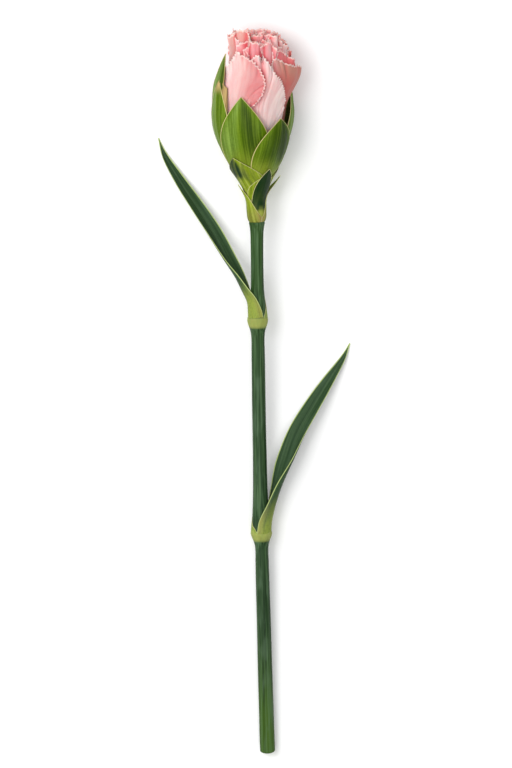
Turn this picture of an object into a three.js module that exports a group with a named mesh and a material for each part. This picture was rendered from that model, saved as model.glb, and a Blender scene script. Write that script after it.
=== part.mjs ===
// A cut carnation: a flower bud just opening on a jointed stem with two narrow leaves.
//
// The flower lies on a flat surface. +Y runs along the stem towards the bud, +X to the right
// of somebody who looks down on it with the bud away from them, and +Z up. Millimetres.
// The stem rises gently from its cut end to the bud, whose calyx rests on the surface, and
// the two leaves arch down on either side of the stem until they touch the surface too.
import * as THREE from 'three';

// ---------------------------------------------------------------- driving dimensions

// Stem: from the cut end to the collar under the bud.
const STEM_LENGTH = 184.5;
const STEM_SWEEP = 3.66; // how far the cut end swings to the right of the collar
const SWEEP_POWER = 1.65; // the swing fades towards the collar
const COLLAR_X = 1.04;
const BUD_TURN = -0.0423; // sideways slope of the bud's own axis
const CUT_HEIGHT = 2.62; // axis height over the surface at the cut end
const RISE = 0.0459; // how fast the axis climbs towards the bud
const CUT_SLANT = 0.32; // the cut leans so that the upper side is the longer one
const CUT_REACH = 5; // stretch over which the slant fades
const STEM_SIDES = 16;

// [distance from the cut, radius]: two swollen joints, then the neck that widens to carry the bud
const STEM_PROFILE = [
  [0, 2.6], [4, 2.6], [30, 2.5], [58, 2.38], [66, 2.3], [70.1, 2.25], [71.8, 2.42], [73.2, 2.75],
  [74.3, 3.2], [75, 3.45], [75.5, 2.95], [84, 2.6], [92, 2.4], [108, 2.36], [124, 2.36], [138, 2.28],
  [143.3, 2.2], [145.2, 2.32], [146.8, 2.55], [148, 2.95], [149, 3.3], [149.6, 3.4], [150.1, 2.7],
  [156, 2.45], [162, 2.26], [172, 2.22], [180, 2.26], [182, 2.42], [183.8, 2.66], [184.3, 2.2],
  [189, 1.95], [192.5, 1.7], [195, 2.2], [196.6, 3.1], [198.2, 3.85],
];

// Bud: heights are measured along its axis from the collar, azimuths from the upward side
// towards the right, in degrees.
// [height, outer radius] of the closed green envelope
const BUD_PROFILE = [
  [0, 2.8], [0.8, 3.15], [1.8, 3.36], [3.5, 3.45], [7.7, 3.7], [11.8, 5.2], [16, 7.3], [20.2, 9.3],
  [24.4, 11.3], [28.6, 12.95], [32.8, 14.05], [37, 14.5], [41, 14.35], [47.4, 13.8], [52, 12.6],
  [59.5, 10.7],
];
// [height, outer radius] of the petals inside it, which open a little above the calyx
const PETAL_PROFILE = [
  [14, 3.35], [18, 4.2], [22, 6.1], [28, 8.5], [34, 9.9], [40, 10.6], [49, 11.7], [57, 11.3], [68, 10.7],
];
const PETAL_LEAN = 3.0; // the petals lean to the right above the calyx
const LEAN_FROM = 39;
const LEAN_TO = 53;

const FLOWER_SEAT = 14; // height at which sepals and petals stand on the receptacle
const BRACTS_END = 21; // height that the bracts reach over the sepals

const SEPAL_THICK = 0.4;
const SEPAL_DROP = 1.45; // radial step from an outer edge to an edge tucked under its neighbour
const SEPAL_TUCK = 1.55; // how far the sepals stand inside the envelope under the bracts
const SEPAL_TIP = 1.4; // half width of a tip in degrees, so that it isn't a knife point
// Each sepal overlaps the next: its middle lies `under` deep, 0 outermost, and `slope` deeper for
// each degree to the right. It leans from the azimuth `base` to `tip` as it rises to `height`,
// and its left side is `wide` times as wide as its right one.
const OVATE = { power: 2.2, under: 0.5, slope: 0, wide: 1 };
const SEPALS = [
  { ...OVATE, name: 'sepal_front_left', base: -17, tip: -16, height: 44.9, half: 56, slope: 0.0096 },
  { ...OVATE, name: 'sepal_front_right', base: 43, tip: 42.5, height: 36.7, half: 54, under: 0 },
  {
    ...OVATE, name: 'sepal_right', base: 103, tip: 98, height: 45.2, half: 48,
    under: 0.4, slope: -0.0105,
  },
  { ...OVATE, name: 'sepal_back', base: 168, tip: 168, height: 44, half: 48, under: 1.22, slope: 0.003 },
  {
    name: 'sepal_left_tall', base: -135, tip: -60, height: 59.2, half: 21, power: 2.4,
    under: 0.92, slope: 0.0117, wide: 3,
  },
  {
    ...OVATE, name: 'sepal_left', base: -88, tip: -62, height: 50.8, half: 36,
    under: 0.44, slope: 0.0119, wide: 1.25,
  },
];

const BRACT_THICK = 0.28;
const BRACT_STEP = 0.5; // radial distance from one layer of bracts to the next
const BRACT_LIFT = 0.12; // a little more room where they lie over the sepals
// Four crossed pairs of bracts, layer 0 outermost. Each stands on its `foot` height and wraps
// `half` degrees either side of `base`, until its margins part at `notch` and run to the tip.
const PAIR_0 = { layer: 0, foot: 0, notch: 1.8, half: 87, power: 0.8, flare: 0 };
const PAIR_1 = { layer: 1, foot: 4, notch: 6, half: 68, power: 1.2, flare: 0 };
const PAIR_2 = { layer: 2, foot: 7.6, notch: 9, half: 78, power: 1.3, flare: 0 };
const PAIR_3 = { layer: 3, foot: 9.4, notch: 13, half: 80, power: 1.2, flare: 0 };
const BRACTS = [
  { ...PAIR_0, name: 'bract_outer_left', height: 13.3, base: -57, tip: -82 },
  { ...PAIR_0, name: 'bract_outer_right', height: 15.5, base: 123, tip: 97, power: 0.62, flare: 1.5 },
  { ...PAIR_1, name: 'bract_second_front', foot: 1.6, height: 18.9, base: 33, tip: 33 },
  { ...PAIR_1, name: 'bract_second_back', height: 17, base: -147, tip: -147 },
  { ...PAIR_2, name: 'bract_third_front', height: 16, base: 22, tip: 22 },
  { ...PAIR_2, name: 'bract_third_back', height: 16.5, base: -158, tip: -158 },
  { ...PAIR_3, name: 'bract_inner_left', notch: 16, height: 23.4, base: -57, tip: -41, power: 1 },
  { ...PAIR_3, name: 'bract_inner_right', height: 19.5, base: 123, tip: 118 },
];

const PETAL_THICK = 0.34;
const PETAL_SLOPE = 0.01; // each petal stands further out for each degree to the right
const RING_STEP = 0.145; // each ring stands in by this share of the envelope
// Rings of petals, outermost first. Two rings that share a foot radius alternate on it.
const PETAL_RINGS = [
  { count: 5, turn: -40, half: 45, foot: 3.3, tops: [57.5, 56.5, 55, 62, 66.5] },
  { count: 5, turn: -4, half: 45, foot: 3.3, tops: [61.5, 60.5, 62, 63.5, 64.5] },
  { count: 6, turn: 14, half: 38, foot: 2.65, tops: [63.5] },
  { count: 6, turn: 44, half: 38, foot: 2.65, tops: [65.5] },
  { count: 4, turn: 10, half: 46, foot: 2.0, tops: [67] },
  { count: 4, turn: 55, half: 42, foot: 2.0, tops: [68] },
];

// Leaves: stations along the midrib's outer side, from the sheath to the tip.
// [x, y, z, turn of the outer side from level to down, half arc in degrees, arc radius]
const LEAF_THICK = 0.42;
const UPPER_LEAF = [
  [-1.56, 150.9, 11.56, -35, 87, 3.45], [-1.85, 153.0, 11.15, -26, 86, 3.45],
  [-2.4, 156.4, 10.5, -12, 78, 3.45], [-4.1, 160.2, 9.75, 4, 72, 3.45],
  [-6.4, 165.2, 8.85, 22, 66, 3.6], [-9.5, 171.0, 7.8, 38, 54, 4.2],
  [-14.6, 180.4, 5.95, 52, 41.5, 5.0], [-20.1, 189.0, 4.1, 57, 33, 5.4],
  [-25.7, 197.4, 2.2, 60, 27, 5.1], [-30.7, 205.8, 0.8, 62, 20, 3.9], [-33.1, 212.4, 0.15, 62, 7, 2.0],
];
const LOWER_LEAF = [
  [5.89, 76.3, 7.43, -19, 87, 3.75], [6.1, 79.6, 7.3, -14, 85, 3.75],
  [7.1, 84.6, 7.0, -4, 76, 3.75], [8.6, 90.6, 6.6, 10, 70, 3.8],
  [10.0, 95.2, 6.15, 24, 67, 4.1], [11.9, 101.0, 5.6, 38, 58, 4.8],
  [15.6, 110.4, 4.6, 50, 44, 5.6], [20.4, 119.0, 3.45, 56, 36, 5.9],
  [25.5, 127.4, 2.0, 60, 29.5, 5.2], [30.7, 135.7, 0.75, 62, 20, 3.6], [33.2, 141.2, 0.15, 62, 7, 2.0],
];

// What is left of the leaf opposite each of these: a short torn sheath round the stem. It wraps
// `half` degrees either side of its azimuth, and draws in by `shrink` towards its top.
const TORN = { half: 83, shrink: 0.25 };
const STUBS = [
  { ...TORN, name: 'upper_leaf_stub', from: 150.9, height: 5.3, azimuth: 125, radius: 3.45 },
  { ...TORN, name: 'lower_leaf_stub', from: 76.3, height: 3.6, azimuth: -109, radius: 3.72 },
];
const STUB_LOW = 1.4; // height of a torn sheath at its margins

// ---------------------------------------------------------------- materials

const finish = (colour, roughness) => new THREE.MeshStandardMaterial({ color: colour, roughness, metalness: 0 });
const FINISH = {
  stem: () => finish(0x3f5d40, 0.55),
  leaf: () => finish(0x40604a, 0.55),
  sheath: () => finish(0x8a9e55, 0.5),
  bract: () => finish(0x6f8a2a, 0.5),
  sepal: () => finish(0x5d8a2c, 0.45),
  petal: () => finish(0xf2bdb8, 0.6),
  pistil: () => finish(0xdfe6c4, 0.5),
};

// ---------------------------------------------------------------- shared geometry

const { degToRad, lerp, smoothstep, clamp } = THREE.MathUtils;

/** Value at x of a smooth curve through a table of [x, value] rows. */
function along(table, x, column = 1) {
  const last = table.length - 1;
  const at = clamp(x, table[0][0], table[last][0]);
  let i = 0;
  while (i < last - 1 && at > table[i + 1][0]) i++;
  const slope = (j) => {
    const before = table[Math.max(j - 1, 0)];
    const after = table[Math.min(j + 1, last)];
    return (after[column] - before[column]) / (after[0] - before[0]);
  };
  const [left, right] = [table[i], table[i + 1]];
  const width = right[0] - left[0];
  const f = (at - left[0]) / width;
  const [f2, f3] = [f * f, f * f * f];
  return (2 * f3 - 3 * f2 + 1) * left[column] + (f3 - 2 * f2 + f) * width * slope(i)
    + (3 * f2 - 2 * f3) * right[column] + (f3 - f2) * width * slope(i + 1);
}

/**
 * A thin closed body: a flat box bent into shape. `place` puts the point that lies s across
 * (-1 to 1), t along (0 to 1) and k through the thickness (0 inside, 1 outside).
 */
function bentSlab(across, lengthwise, place) {
  const slab = new THREE.BoxGeometry(2, 1, 1, across, lengthwise, 1);
  const points = slab.attributes.position;
  for (let i = 0; i < points.count; i++) {
    const p = place(points.getX(i), points.getY(i) + 0.5, points.getZ(i) + 0.5);
    points.setXYZ(i, p.x, p.y, p.z);
  }
  slab.computeVertexNormals();
  return slab;
}

function addPiece(group, name, geometry, material) {
  const mesh = new THREE.Mesh(geometry, material);
  mesh.name = name;
  group.add(mesh);
}

// ---------------------------------------------------------------- stem

/** A point of the axis that the stem and, past the collar, the bud share. */
function axisAt(y) {
  const before = Math.max(1 - y / STEM_LENGTH, 0);
  const past = Math.max(y - STEM_LENGTH, 0);
  const x = COLLAR_X + STEM_SWEEP * before ** SWEEP_POWER + BUD_TURN * past;
  return new THREE.Vector3(x, y, CUT_HEIGHT + RISE * y);
}

/** The axis direction, the upward side and the right side there. */
function axisFrame(y) {
  const step = 0.5;
  const ahead = axisAt(y + step).sub(axisAt(y)).normalize();
  const up = new THREE.Vector3(0, 0, 1).addScaledVector(ahead, -ahead.z).normalize();
  return { ahead, up, right: ahead.clone().cross(up) };
}

/** The point at a radius and an azimuth round the axis. */
function aroundAxis(y, radius, azimuth) {
  const { up, right } = axisFrame(y);
  return axisAt(y).addScaledVector(up, radius * Math.cos(azimuth))
    .addScaledVector(right, radius * Math.sin(azimuth));
}

function stemGeometry() {
  const outline = [new THREE.Vector2(0, 0)];
  for (const [y, radius] of STEM_PROFILE) outline.push(new THREE.Vector2(radius, y));
  outline.push(new THREE.Vector2(0, STEM_PROFILE.at(-1)[0]));
  const stem = new THREE.LatheGeometry(outline, STEM_SIDES);
  const points = stem.attributes.position;
  for (let i = 0; i < points.count; i++) {
    const [x, y, z] = [points.getX(i), points.getY(i), points.getZ(i)];
    const p = aroundAxis(y, Math.hypot(x, z), Math.atan2(x, z));
    const slant = CUT_SLANT * z * (1 - smoothstep(y, 0, CUT_REACH));
    points.setXYZ(i, p.x, p.y - slant, p.z);
  }
  stem.computeVertexNormals();
  return stem;
}

// ---------------------------------------------------------------- leaves

/** A leaf: a sheath clasping the stem that opens into a channelled blade and turns face up. */
function leafGeometry(stations, side) {
  const midrib = new THREE.CatmullRomCurve3(stations.map(([x, y, z]) => new THREE.Vector3(x, y, z)));
  const rows = stations.map((station, i) => [i / (stations.length - 1), ...station.slice(3)]);
  const up = new THREE.Vector3(0, 0, 1);
  return bentSlab(8, 22, (s, t, k) => {
    const ahead = midrib.getTangent(t);
    const level = ahead.clone().cross(up).normalize().multiplyScalar(side);
    const down = ahead.clone().cross(level).multiplyScalar(side).normalize();
    const turn = degToRad(along(rows, t, 1));
    const outward = level.multiplyScalar(Math.cos(turn)).addScaledVector(down, Math.sin(turn));
    const sideways = ahead.clone().cross(outward);
    const arc = degToRad(along(rows, t, 2)) * s;
    const radius = along(rows, t, 3);
    const shell = radius - LEAF_THICK * (1 - k) * (1 - 0.4 * s * s);
    return midrib.getPoint(t)
      .addScaledVector(outward, shell * Math.cos(arc) - radius)
      .addScaledVector(sideways, shell * Math.sin(arc));
  });
}

/** The torn sheath of a leaf that was pulled off: highest in the middle, low at its margins. */
function stubGeometry({ from, height, azimuth, half, radius, shrink }) {
  return bentSlab(10, 3, (s, t, k) => {
    const rise = t * (STUB_LOW + (height - STUB_LOW) * (1 - Math.abs(s)));
    const shell = radius - shrink * t - LEAF_THICK * (1 - k);
    return aroundAxis(from + rise, shell, degToRad(azimuth + s * half));
  });
}

// ---------------------------------------------------------------- bud

/** The point of the bud at a radius, an azimuth in degrees and a height along its axis. */
function inBud(radius, azimuth, height) {
  const angle = degToRad(azimuth);
  return new THREE.Vector3(radius * Math.sin(angle), height, radius * Math.cos(angle));
}

/** Outer radius of the sepals: inside the envelope where bracts cover them, on it above. */
function sepalEnvelope(h) {
  return along(BUD_PROFILE, h) - SEPAL_TUCK * (1 - smoothstep(h, FLOWER_SEAT, BRACTS_END));
}

function sepalGeometry({ base, tip, height, half, power, under, slope, wide }) {
  return bentSlab(8, 9, (s, t, k) => {
    const h = FLOWER_SEAT + (height - FLOWER_SEAT) * t;
    const widen = smoothstep(h, 13, 20.5);
    const middle = tip + (base - tip) * (1 - t) ** 3;
    const side = (s < 0 ? wide : 1) * half * (0.5 + 0.5 * widen);
    const spread = s * (side * (1 - t ** power) + SEPAL_TIP * t);
    const depth = (under + slope * spread) * SEPAL_DROP * (0.3 + 0.7 * widen);
    const thick = SEPAL_THICK * (0.75 + 0.25 * widen);
    return inBud(sepalEnvelope(h) - depth - thick * (1 - k), middle + spread, h);
  });
}

/** Outer radius of a layer of bracts: on the envelope low down, hugging the sepals above. */
function bractEnvelope(layer, h) {
  if (h < FLOWER_SEAT) return along(BUD_PROFILE, h) - BRACT_STEP * (layer - smoothstep(h, 9, FLOWER_SEAT));
  const lift = BRACT_LIFT * smoothstep(h, FLOWER_SEAT, FLOWER_SEAT + 2);
  return sepalEnvelope(h) + SEPAL_TUCK + lift - BRACT_STEP * (layer - 1);
}

function bractGeometry({ layer, foot, notch, height, base, tip, half, power, flare }) {
  return bentSlab(8, 8, (s, t, k) => {
    const h = foot + (height - foot) * t;
    const free = clamp((h - notch) / (height - notch), 0, 1);
    const spread = s * (half * (1 - free ** power) + 3 * free);
    const out = flare * smoothstep(h, 8.5, height);
    const radius = bractEnvelope(layer, h) + out - BRACT_THICK * (1 - k);
    return inBud(radius, lerp(base, tip, free) + spread, h);
  });
}

function petalGeometry(ring, index, azimuth, top) {
  const { half, foot } = ring;
  const share = 1 - RING_STEP * index;
  return bentSlab(5, 7, (s, t, k) => {
    const rounding = 3.2 * s * s * t ** 4;
    const h = FLOWER_SEAT + (top - FLOWER_SEAT) * t - rounding;
    const spread = s * lerp(8, half, smoothstep(h, 21, 36));
    const limb = along(PETAL_PROFILE, h) * share;
    const radius = lerp(foot, limb, smoothstep(h, 15, 22)) + PETAL_SLOPE * spread;
    const p = inBud(radius - PETAL_THICK * (1 - k), azimuth + spread, h);
    p.x += PETAL_LEAN * smoothstep(h, LEAN_FROM, LEAN_TO);
    return p;
  });
}

/** The seed vessel in the middle of the bud, with its two styles grown together. */
function pistilGeometry() {
  const outline = [
    [0, 14], [1.1, 14], [1.3, 16.5], [1.05, 20], [0.75, 23], [0.5, 26], [0.4, 31], [0.35, 42], [0, 42.6],
  ].map(([radius, height]) => new THREE.Vector2(radius, height));
  return new THREE.LatheGeometry(outline, 12);
}

// ---------------------------------------------------------------- assembly

const carnation = new THREE.Group();
carnation.name = 'cut_carnation';

addPiece(carnation, 'stem', stemGeometry(), FINISH.stem());
addPiece(carnation, 'upper_leaf', leafGeometry(UPPER_LEAF, -1), FINISH.leaf());
addPiece(carnation, 'lower_leaf', leafGeometry(LOWER_LEAF, 1), FINISH.leaf());
for (const stub of STUBS) addPiece(carnation, stub.name, stubGeometry(stub), FINISH.sheath());

const bud = new THREE.Group();
const budFrame = axisFrame(STEM_LENGTH + 1);
bud.position.copy(axisAt(STEM_LENGTH));
bud.quaternion.setFromRotationMatrix(
  new THREE.Matrix4().makeBasis(budFrame.right, budFrame.ahead, budFrame.up));
carnation.add(bud);

for (const bract of BRACTS) addPiece(bud, bract.name, bractGeometry(bract), FINISH.bract());
for (const sepal of SEPALS) addPiece(bud, sepal.name, sepalGeometry(sepal), FINISH.sepal());
PETAL_RINGS.forEach((ring, index) => {
  for (let i = 0; i < ring.count; i++) {
    const azimuth = ring.turn + (360 / ring.count) * i;
    const top = ring.tops[i % ring.tops.length];
    addPiece(bud, `petal_${index + 1}_${i + 1}`, petalGeometry(ring, index, azimuth, top), FINISH.petal());
  }
});
addPiece(bud, 'pistil', pistilGeometry(), FINISH.pistil());

// The origin is the middle of the flower's own box, on the surface that it lies on.
carnation.updateMatrixWorld(true);
const box = new THREE.Box3().setFromObject(carnation, true);
const middle = box.getCenter(new THREE.Vector3());
carnation.position.set(-middle.x, -middle.y, -box.min.z);

export default carnation;
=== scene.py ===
"""A cut carnation lying on a pale surface: a ruffled bud opening in a green calyx, a jointed
stem and two narrow channelled leaves.

Every shape below is worked out in millimetres in the flower's own coordinates: the cut end of
the stem at y = 0, +Y towards the bud, +X to the right and +Z up from the surface. `Ground`
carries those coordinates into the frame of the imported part, in metres.
"""
import logging
import math
from dataclasses import dataclass
from enum import Enum

import bpy
import numpy as np
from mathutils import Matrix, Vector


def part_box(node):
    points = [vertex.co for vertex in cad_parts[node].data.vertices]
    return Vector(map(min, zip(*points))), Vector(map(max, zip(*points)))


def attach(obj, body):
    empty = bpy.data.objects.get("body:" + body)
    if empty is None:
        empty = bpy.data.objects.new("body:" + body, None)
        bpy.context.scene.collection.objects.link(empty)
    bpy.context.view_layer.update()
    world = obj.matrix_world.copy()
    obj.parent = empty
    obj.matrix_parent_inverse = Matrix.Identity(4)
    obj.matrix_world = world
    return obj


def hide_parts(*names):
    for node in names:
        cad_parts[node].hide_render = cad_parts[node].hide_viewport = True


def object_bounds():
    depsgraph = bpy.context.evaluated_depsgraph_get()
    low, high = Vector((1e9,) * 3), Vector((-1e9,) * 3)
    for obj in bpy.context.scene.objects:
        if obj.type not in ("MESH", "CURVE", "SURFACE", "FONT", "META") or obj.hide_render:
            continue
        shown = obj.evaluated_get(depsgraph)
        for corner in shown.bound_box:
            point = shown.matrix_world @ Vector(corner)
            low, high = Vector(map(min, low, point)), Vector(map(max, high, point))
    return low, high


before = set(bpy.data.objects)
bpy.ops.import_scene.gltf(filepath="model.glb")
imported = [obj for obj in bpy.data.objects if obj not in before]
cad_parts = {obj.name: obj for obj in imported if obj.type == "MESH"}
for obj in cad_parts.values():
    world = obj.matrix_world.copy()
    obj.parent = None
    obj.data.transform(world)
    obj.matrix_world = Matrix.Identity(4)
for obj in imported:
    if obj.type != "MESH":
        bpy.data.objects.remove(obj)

CAD_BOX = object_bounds()
LOG = logging.getLogger("carnation")
Array = np.ndarray
Colour = tuple[float, float, float, float]
Row = tuple[float, float]
Table = tuple[tuple[float, ...], ...]
MILLIMETRE = 0.001
BODY = "root"


# ---------------------------------------------------------------- plain numbers


def smooth(value: Array | float, low: float, high: float) -> Array:
    """A soft step: 0 below `low`, 1 above `high`, and 3f^2 - 2f^3 of the share f between."""
    share = np.clip((np.asarray(value, float) - low) / (high - low), 0.0, 1.0)
    return share * share * (3.0 - 2.0 * share)


def mix(first: Array | float, second: Array | float, share: Array | float) -> Array:
    """The straight blend first + (second - first) * share."""
    return first + (second - first) * share


def along(table: Table, at: Array | float, column: int = 1) -> Array:
    """Reads a smooth curve through the rows of a table.

    Between two rows the value is the cubic that has the rows' values and, at each row, the
    slope of the chord between its neighbours.

    Args:
        table: Rows that start with their position and hold the values in further columns.
        at: Positions to read at; those outside the table take its end values.
        column: Which column is read.

    Returns:
        The values, in the shape of `at`.
    """
    rows = np.asarray(table, float)
    x, y = rows[:, 0], rows[:, column]
    number = np.arange(len(x))
    before, after = np.maximum(number - 1, 0), np.minimum(number + 1, len(x) - 1)
    slope = (y[after] - y[before]) / (x[after] - x[before])
    p = np.clip(np.asarray(at, float), x[0], x[-1])
    i = np.clip(np.searchsorted(x, p, side="right") - 1, 0, len(x) - 2)
    width = x[i + 1] - x[i]
    f = (p - x[i]) / width
    f2, f3 = f * f, f * f * f
    return (
        (2 * f3 - 3 * f2 + 1) * y[i] + (f3 - 2 * f2 + f) * width * slope[i]
        + (3 * f2 - 2 * f3) * y[i + 1] + (f3 - f2) * width * slope[i + 1]
    )


def unit(vectors: Array) -> Array:
    """Vectors divided by their own lengths."""
    return vectors / np.maximum(np.linalg.norm(vectors, axis=-1, keepdims=True), 1e-12)


def tint(red: float, green: float, blue: float) -> Colour:
    """A display colour, 0 to 255 a channel, as linear light: ((c + .055) / 1.055) ^ 2.4."""
    return tuple(
        (c / 255 / 12.92) if c <= 10 else ((c / 255 + 0.055) / 1.055) ** 2.4
        for c in (red, green, blue)
    ) + (1.0,)


# ---------------------------------------------------------------- where things stand


@dataclass(frozen=True)
class Ground:
    """Carries the flower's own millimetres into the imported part's metres.

    The two differ by a shift alone. Its sideways and vertical parts come from the packed
    stem's box, whose right and lower sides the round cut end touches; its part along the stem
    comes from the lip of the slanted cut.
    """

    stem_right: float = 7.3  # the stem's furthest point to the right
    stem_low: float = 0.0205  # and its lowest point
    stem_start: float = -0.9532  # and the tip of its slanted cut

    def shift(self) -> Array:
        """The cut end's place in the part's frame, in millimetres."""
        low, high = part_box("stem")
        return np.array([
            high.x / MILLIMETRE - self.stem_right,
            low.y / MILLIMETRE - self.stem_start,
            low.z / MILLIMETRE - self.stem_low,
        ])

    def metres(self, points: Array) -> Array:
        """Points in the part's frame, in metres."""
        return (points + self.shift()) * MILLIMETRE


GROUND = Ground()


@dataclass(frozen=True)
class StemLine:
    """The line that the stem and the bud share. It swings to the left as it climbs.

    Its x is collar + sweep * (1 - y / length) ^ power up to the collar and collar + turn *
    (y - length) past it, and its z is start + rise * y.
    """

    length: float = 184.5
    collar: float = 1.04
    sweep: float = 3.66
    power: float = 1.65
    turn: float = -0.0423
    start: float = 2.62
    rise: float = 0.0459

    def centre(self, y: Array) -> Array:
        """The points of the line at distances y from the cut."""
        y = np.asarray(y, float)
        before = np.maximum(1 - y / self.length, 0)
        past = np.maximum(y - self.length, 0)
        x = self.collar + self.sweep * before**self.power + self.turn * past
        return np.stack([x, y, self.start + self.rise * y], -1)

    def sides(self, y: Array) -> tuple[Array, Array, Array]:
        """The right side, the direction ahead and the upward side of the line."""
        ahead = unit(self.centre(np.asarray(y, float) + 0.5) - self.centre(y))
        up = unit(np.array([0.0, 0.0, 1.0]) - ahead * ahead[..., 2:])
        return np.cross(ahead, up), ahead, up

    def around(self, y: Array, radius: Array, azimuth: Array) -> Array:
        """Points round the line: centre + up * r * cos(azimuth) + right * r * sin(azimuth).

        Args:
            y: Distances from the cut.
            radius: Distances from the line.
            azimuth: Degrees from the upward side towards the right.

        Returns:
            The points, with x, y and z on the last axis.
        """
        right, _, up = self.sides(y)
        angle = np.radians(azimuth)
        return (
            self.centre(y)
            + up * (radius * np.cos(angle))[..., None]
            + right * (radius * np.sin(angle))[..., None]
        )


@dataclass(frozen=True)
class BudLine:
    """The straight axis of the bud, and the closed green outline round it."""

    stem: StemLine = StemLine()
    outline: tuple[Row, ...] = (
        (0, 2.8), (0.8, 3.15), (1.8, 3.36), (3.5, 3.45), (7.7, 3.7), (11.8, 5.2), (16, 7.3),
        (20.2, 9.3), (24.4, 11.3), (28.6, 12.95), (32.8, 14.05), (37, 14.5), (41, 14.35),
        (47.4, 13.8), (52, 12.6), (59.5, 10.7),
    )
    seat: float = 14.0  # where sepals and petals stand
    bracts_end: float = 21.0
    bracts_part: float = 9.0  # the layers of bracts part from here up to the seat
    tuck: float = 1.0  # sepals stand this far inside the outline under the bracts
    layer_step: float = 0.26  # between one layer of bracts and the next
    lean: float = 3.0  # the petals lean to the right above the calyx
    lean_from: float = 39.0
    lean_to: float = 53.0

    def place(self, radius: Array, azimuth: Array, height: Array, leaning: float = 0.0) -> Array:
        """Points of the bud: collar + right * r * sin(a) + ahead * h + up * r * cos(a).

        Args:
            radius: Distances from the bud's axis.
            azimuth: Degrees from the upward side towards the right.
            height: Distances ahead of the collar.
            leaning: How much of the petals' lean to the right is added.

        Returns:
            The points, with x, y and z on the last axis.
        """
        right, ahead, up = self.stem.sides(np.array(self.stem.length + 1))
        angle = np.radians(azimuth)
        aside = radius * np.sin(angle)
        aside = aside + leaning * self.lean * smooth(height, self.lean_from, self.lean_to)
        return (
            self.stem.centre(np.array(self.stem.length))
            + right * np.asarray(aside)[..., None]
            + ahead * np.asarray(height, float)[..., None]
            + up * np.asarray(radius * np.cos(angle))[..., None]
        )

    def sepal_radius(self, height: Array) -> Array:
        """The outline, less the tuck below the end of the bracts."""
        return along(self.outline, height) - self.tuck * (1 - smooth(height, self.seat, self.bracts_end))

    def bract_radius(self, layer: int, height: Array) -> Array:
        """The outline low down, less a step a layer; higher up it hugs the sepals."""
        parted = smooth(height, self.bracts_part, self.seat)
        low = along(self.outline, height) - self.layer_step * (layer - parted)
        high = self.sepal_radius(height) + self.tuck - self.layer_step * (layer - 1)
        return np.where(np.asarray(height) < self.seat, low, high)


STEM = StemLine()
BUD = BudLine()


# ---------------------------------------------------------------- meshes


def mesh_object(name: str, points: Array, faces: list[list[int]], marks: dict[str, Array],
                material: bpy.types.Material) -> bpy.types.Object:
    """Makes a smooth shaded mesh object at the origin.

    Args:
        name: The piece's name.
        points: Vertices in the flower's millimetres, one row each.
        faces: Corner numbers of each face, turning so that it faces outwards.
        marks: Named values for each vertex, a number or a vector each, for the material.
        material: The finish.

    Returns:
        The object, linked to the scene.
    """
    mesh = bpy.data.meshes.new(name)
    mesh.from_pydata(GROUND.metres(points).tolist(), [], faces)
    mesh.polygons.foreach_set("use_smooth", np.ones(len(mesh.polygons), bool))
    for key, values in marks.items():
        kind, slot = ("FLOAT", "value") if values.ndim == 1 else ("FLOAT_VECTOR", "vector")
        layer = mesh.attributes.new(key, kind, "POINT")
        layer.data.foreach_set(slot, np.ascontiguousarray(values, np.float32).ravel())
    mesh.materials.append(material)
    mesh.update()
    made = bpy.data.objects.new(name, mesh)
    bpy.context.scene.collection.objects.link(made)
    return made


@dataclass
class Slab:
    """A thin closed body on a grid: n points across by m lengthwise.

    Its two faces lie half a thickness either side of the middle surface, along the surface's
    own normal, which points outwards when the grid runs to the right and then ahead. Quads
    join them all round the rim.
    """

    middle: Array
    thick: Array
    marks: dict[str, Array]

    def normals(self) -> Array:
        """The cross product of the steps across and lengthwise."""
        return unit(np.cross(np.gradient(self.middle, axis=0), np.gradient(self.middle, axis=1)))

    def build(self, name: str, material: bpy.types.Material) -> bpy.types.Object:
        """Makes the object.

        Args:
            name: The piece's name.
            material: The finish.

        Returns:
            The object. A mark of shape (2, n, m, ...) differs between the outer face, first,
            and the inner one.
        """
        n, m = self.thick.shape
        offset = self.normals() * (self.thick * 0.5)[..., None]
        sides = (self.middle + offset, self.middle - offset)
        points = np.concatenate([side.reshape(-1, 3) for side in sides])
        index = np.arange(n * m).reshape(n, m)
        a, b, c, d = index[:-1, :-1], index[1:, :-1], index[1:, 1:], index[:-1, 1:]
        outer = np.stack([a, b, c, d], -1).reshape(-1, 4)
        rim = np.concatenate([
            np.stack([b[:, 0], a[:, 0]], -1), np.stack([c[-1], b[-1]], -1),
            np.stack([d[:, -1], c[:, -1]], -1), np.stack([a[0], d[0]], -1),
        ])
        rim = np.concatenate([rim, rim[:, ::-1] + n * m], -1)
        faces = np.concatenate([outer, outer[:, ::-1] + n * m, rim]).tolist()
        marks = {}
        for key, values in self.marks.items():
            twofold = values.shape[0] == 2 and values.shape[1:3] == (n, m)
            both = values if twofold else np.stack([values, values])
            marks[key] = both.reshape(2 * n * m, *both.shape[3:])
        return mesh_object(name, points, faces, marks, material)


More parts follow.
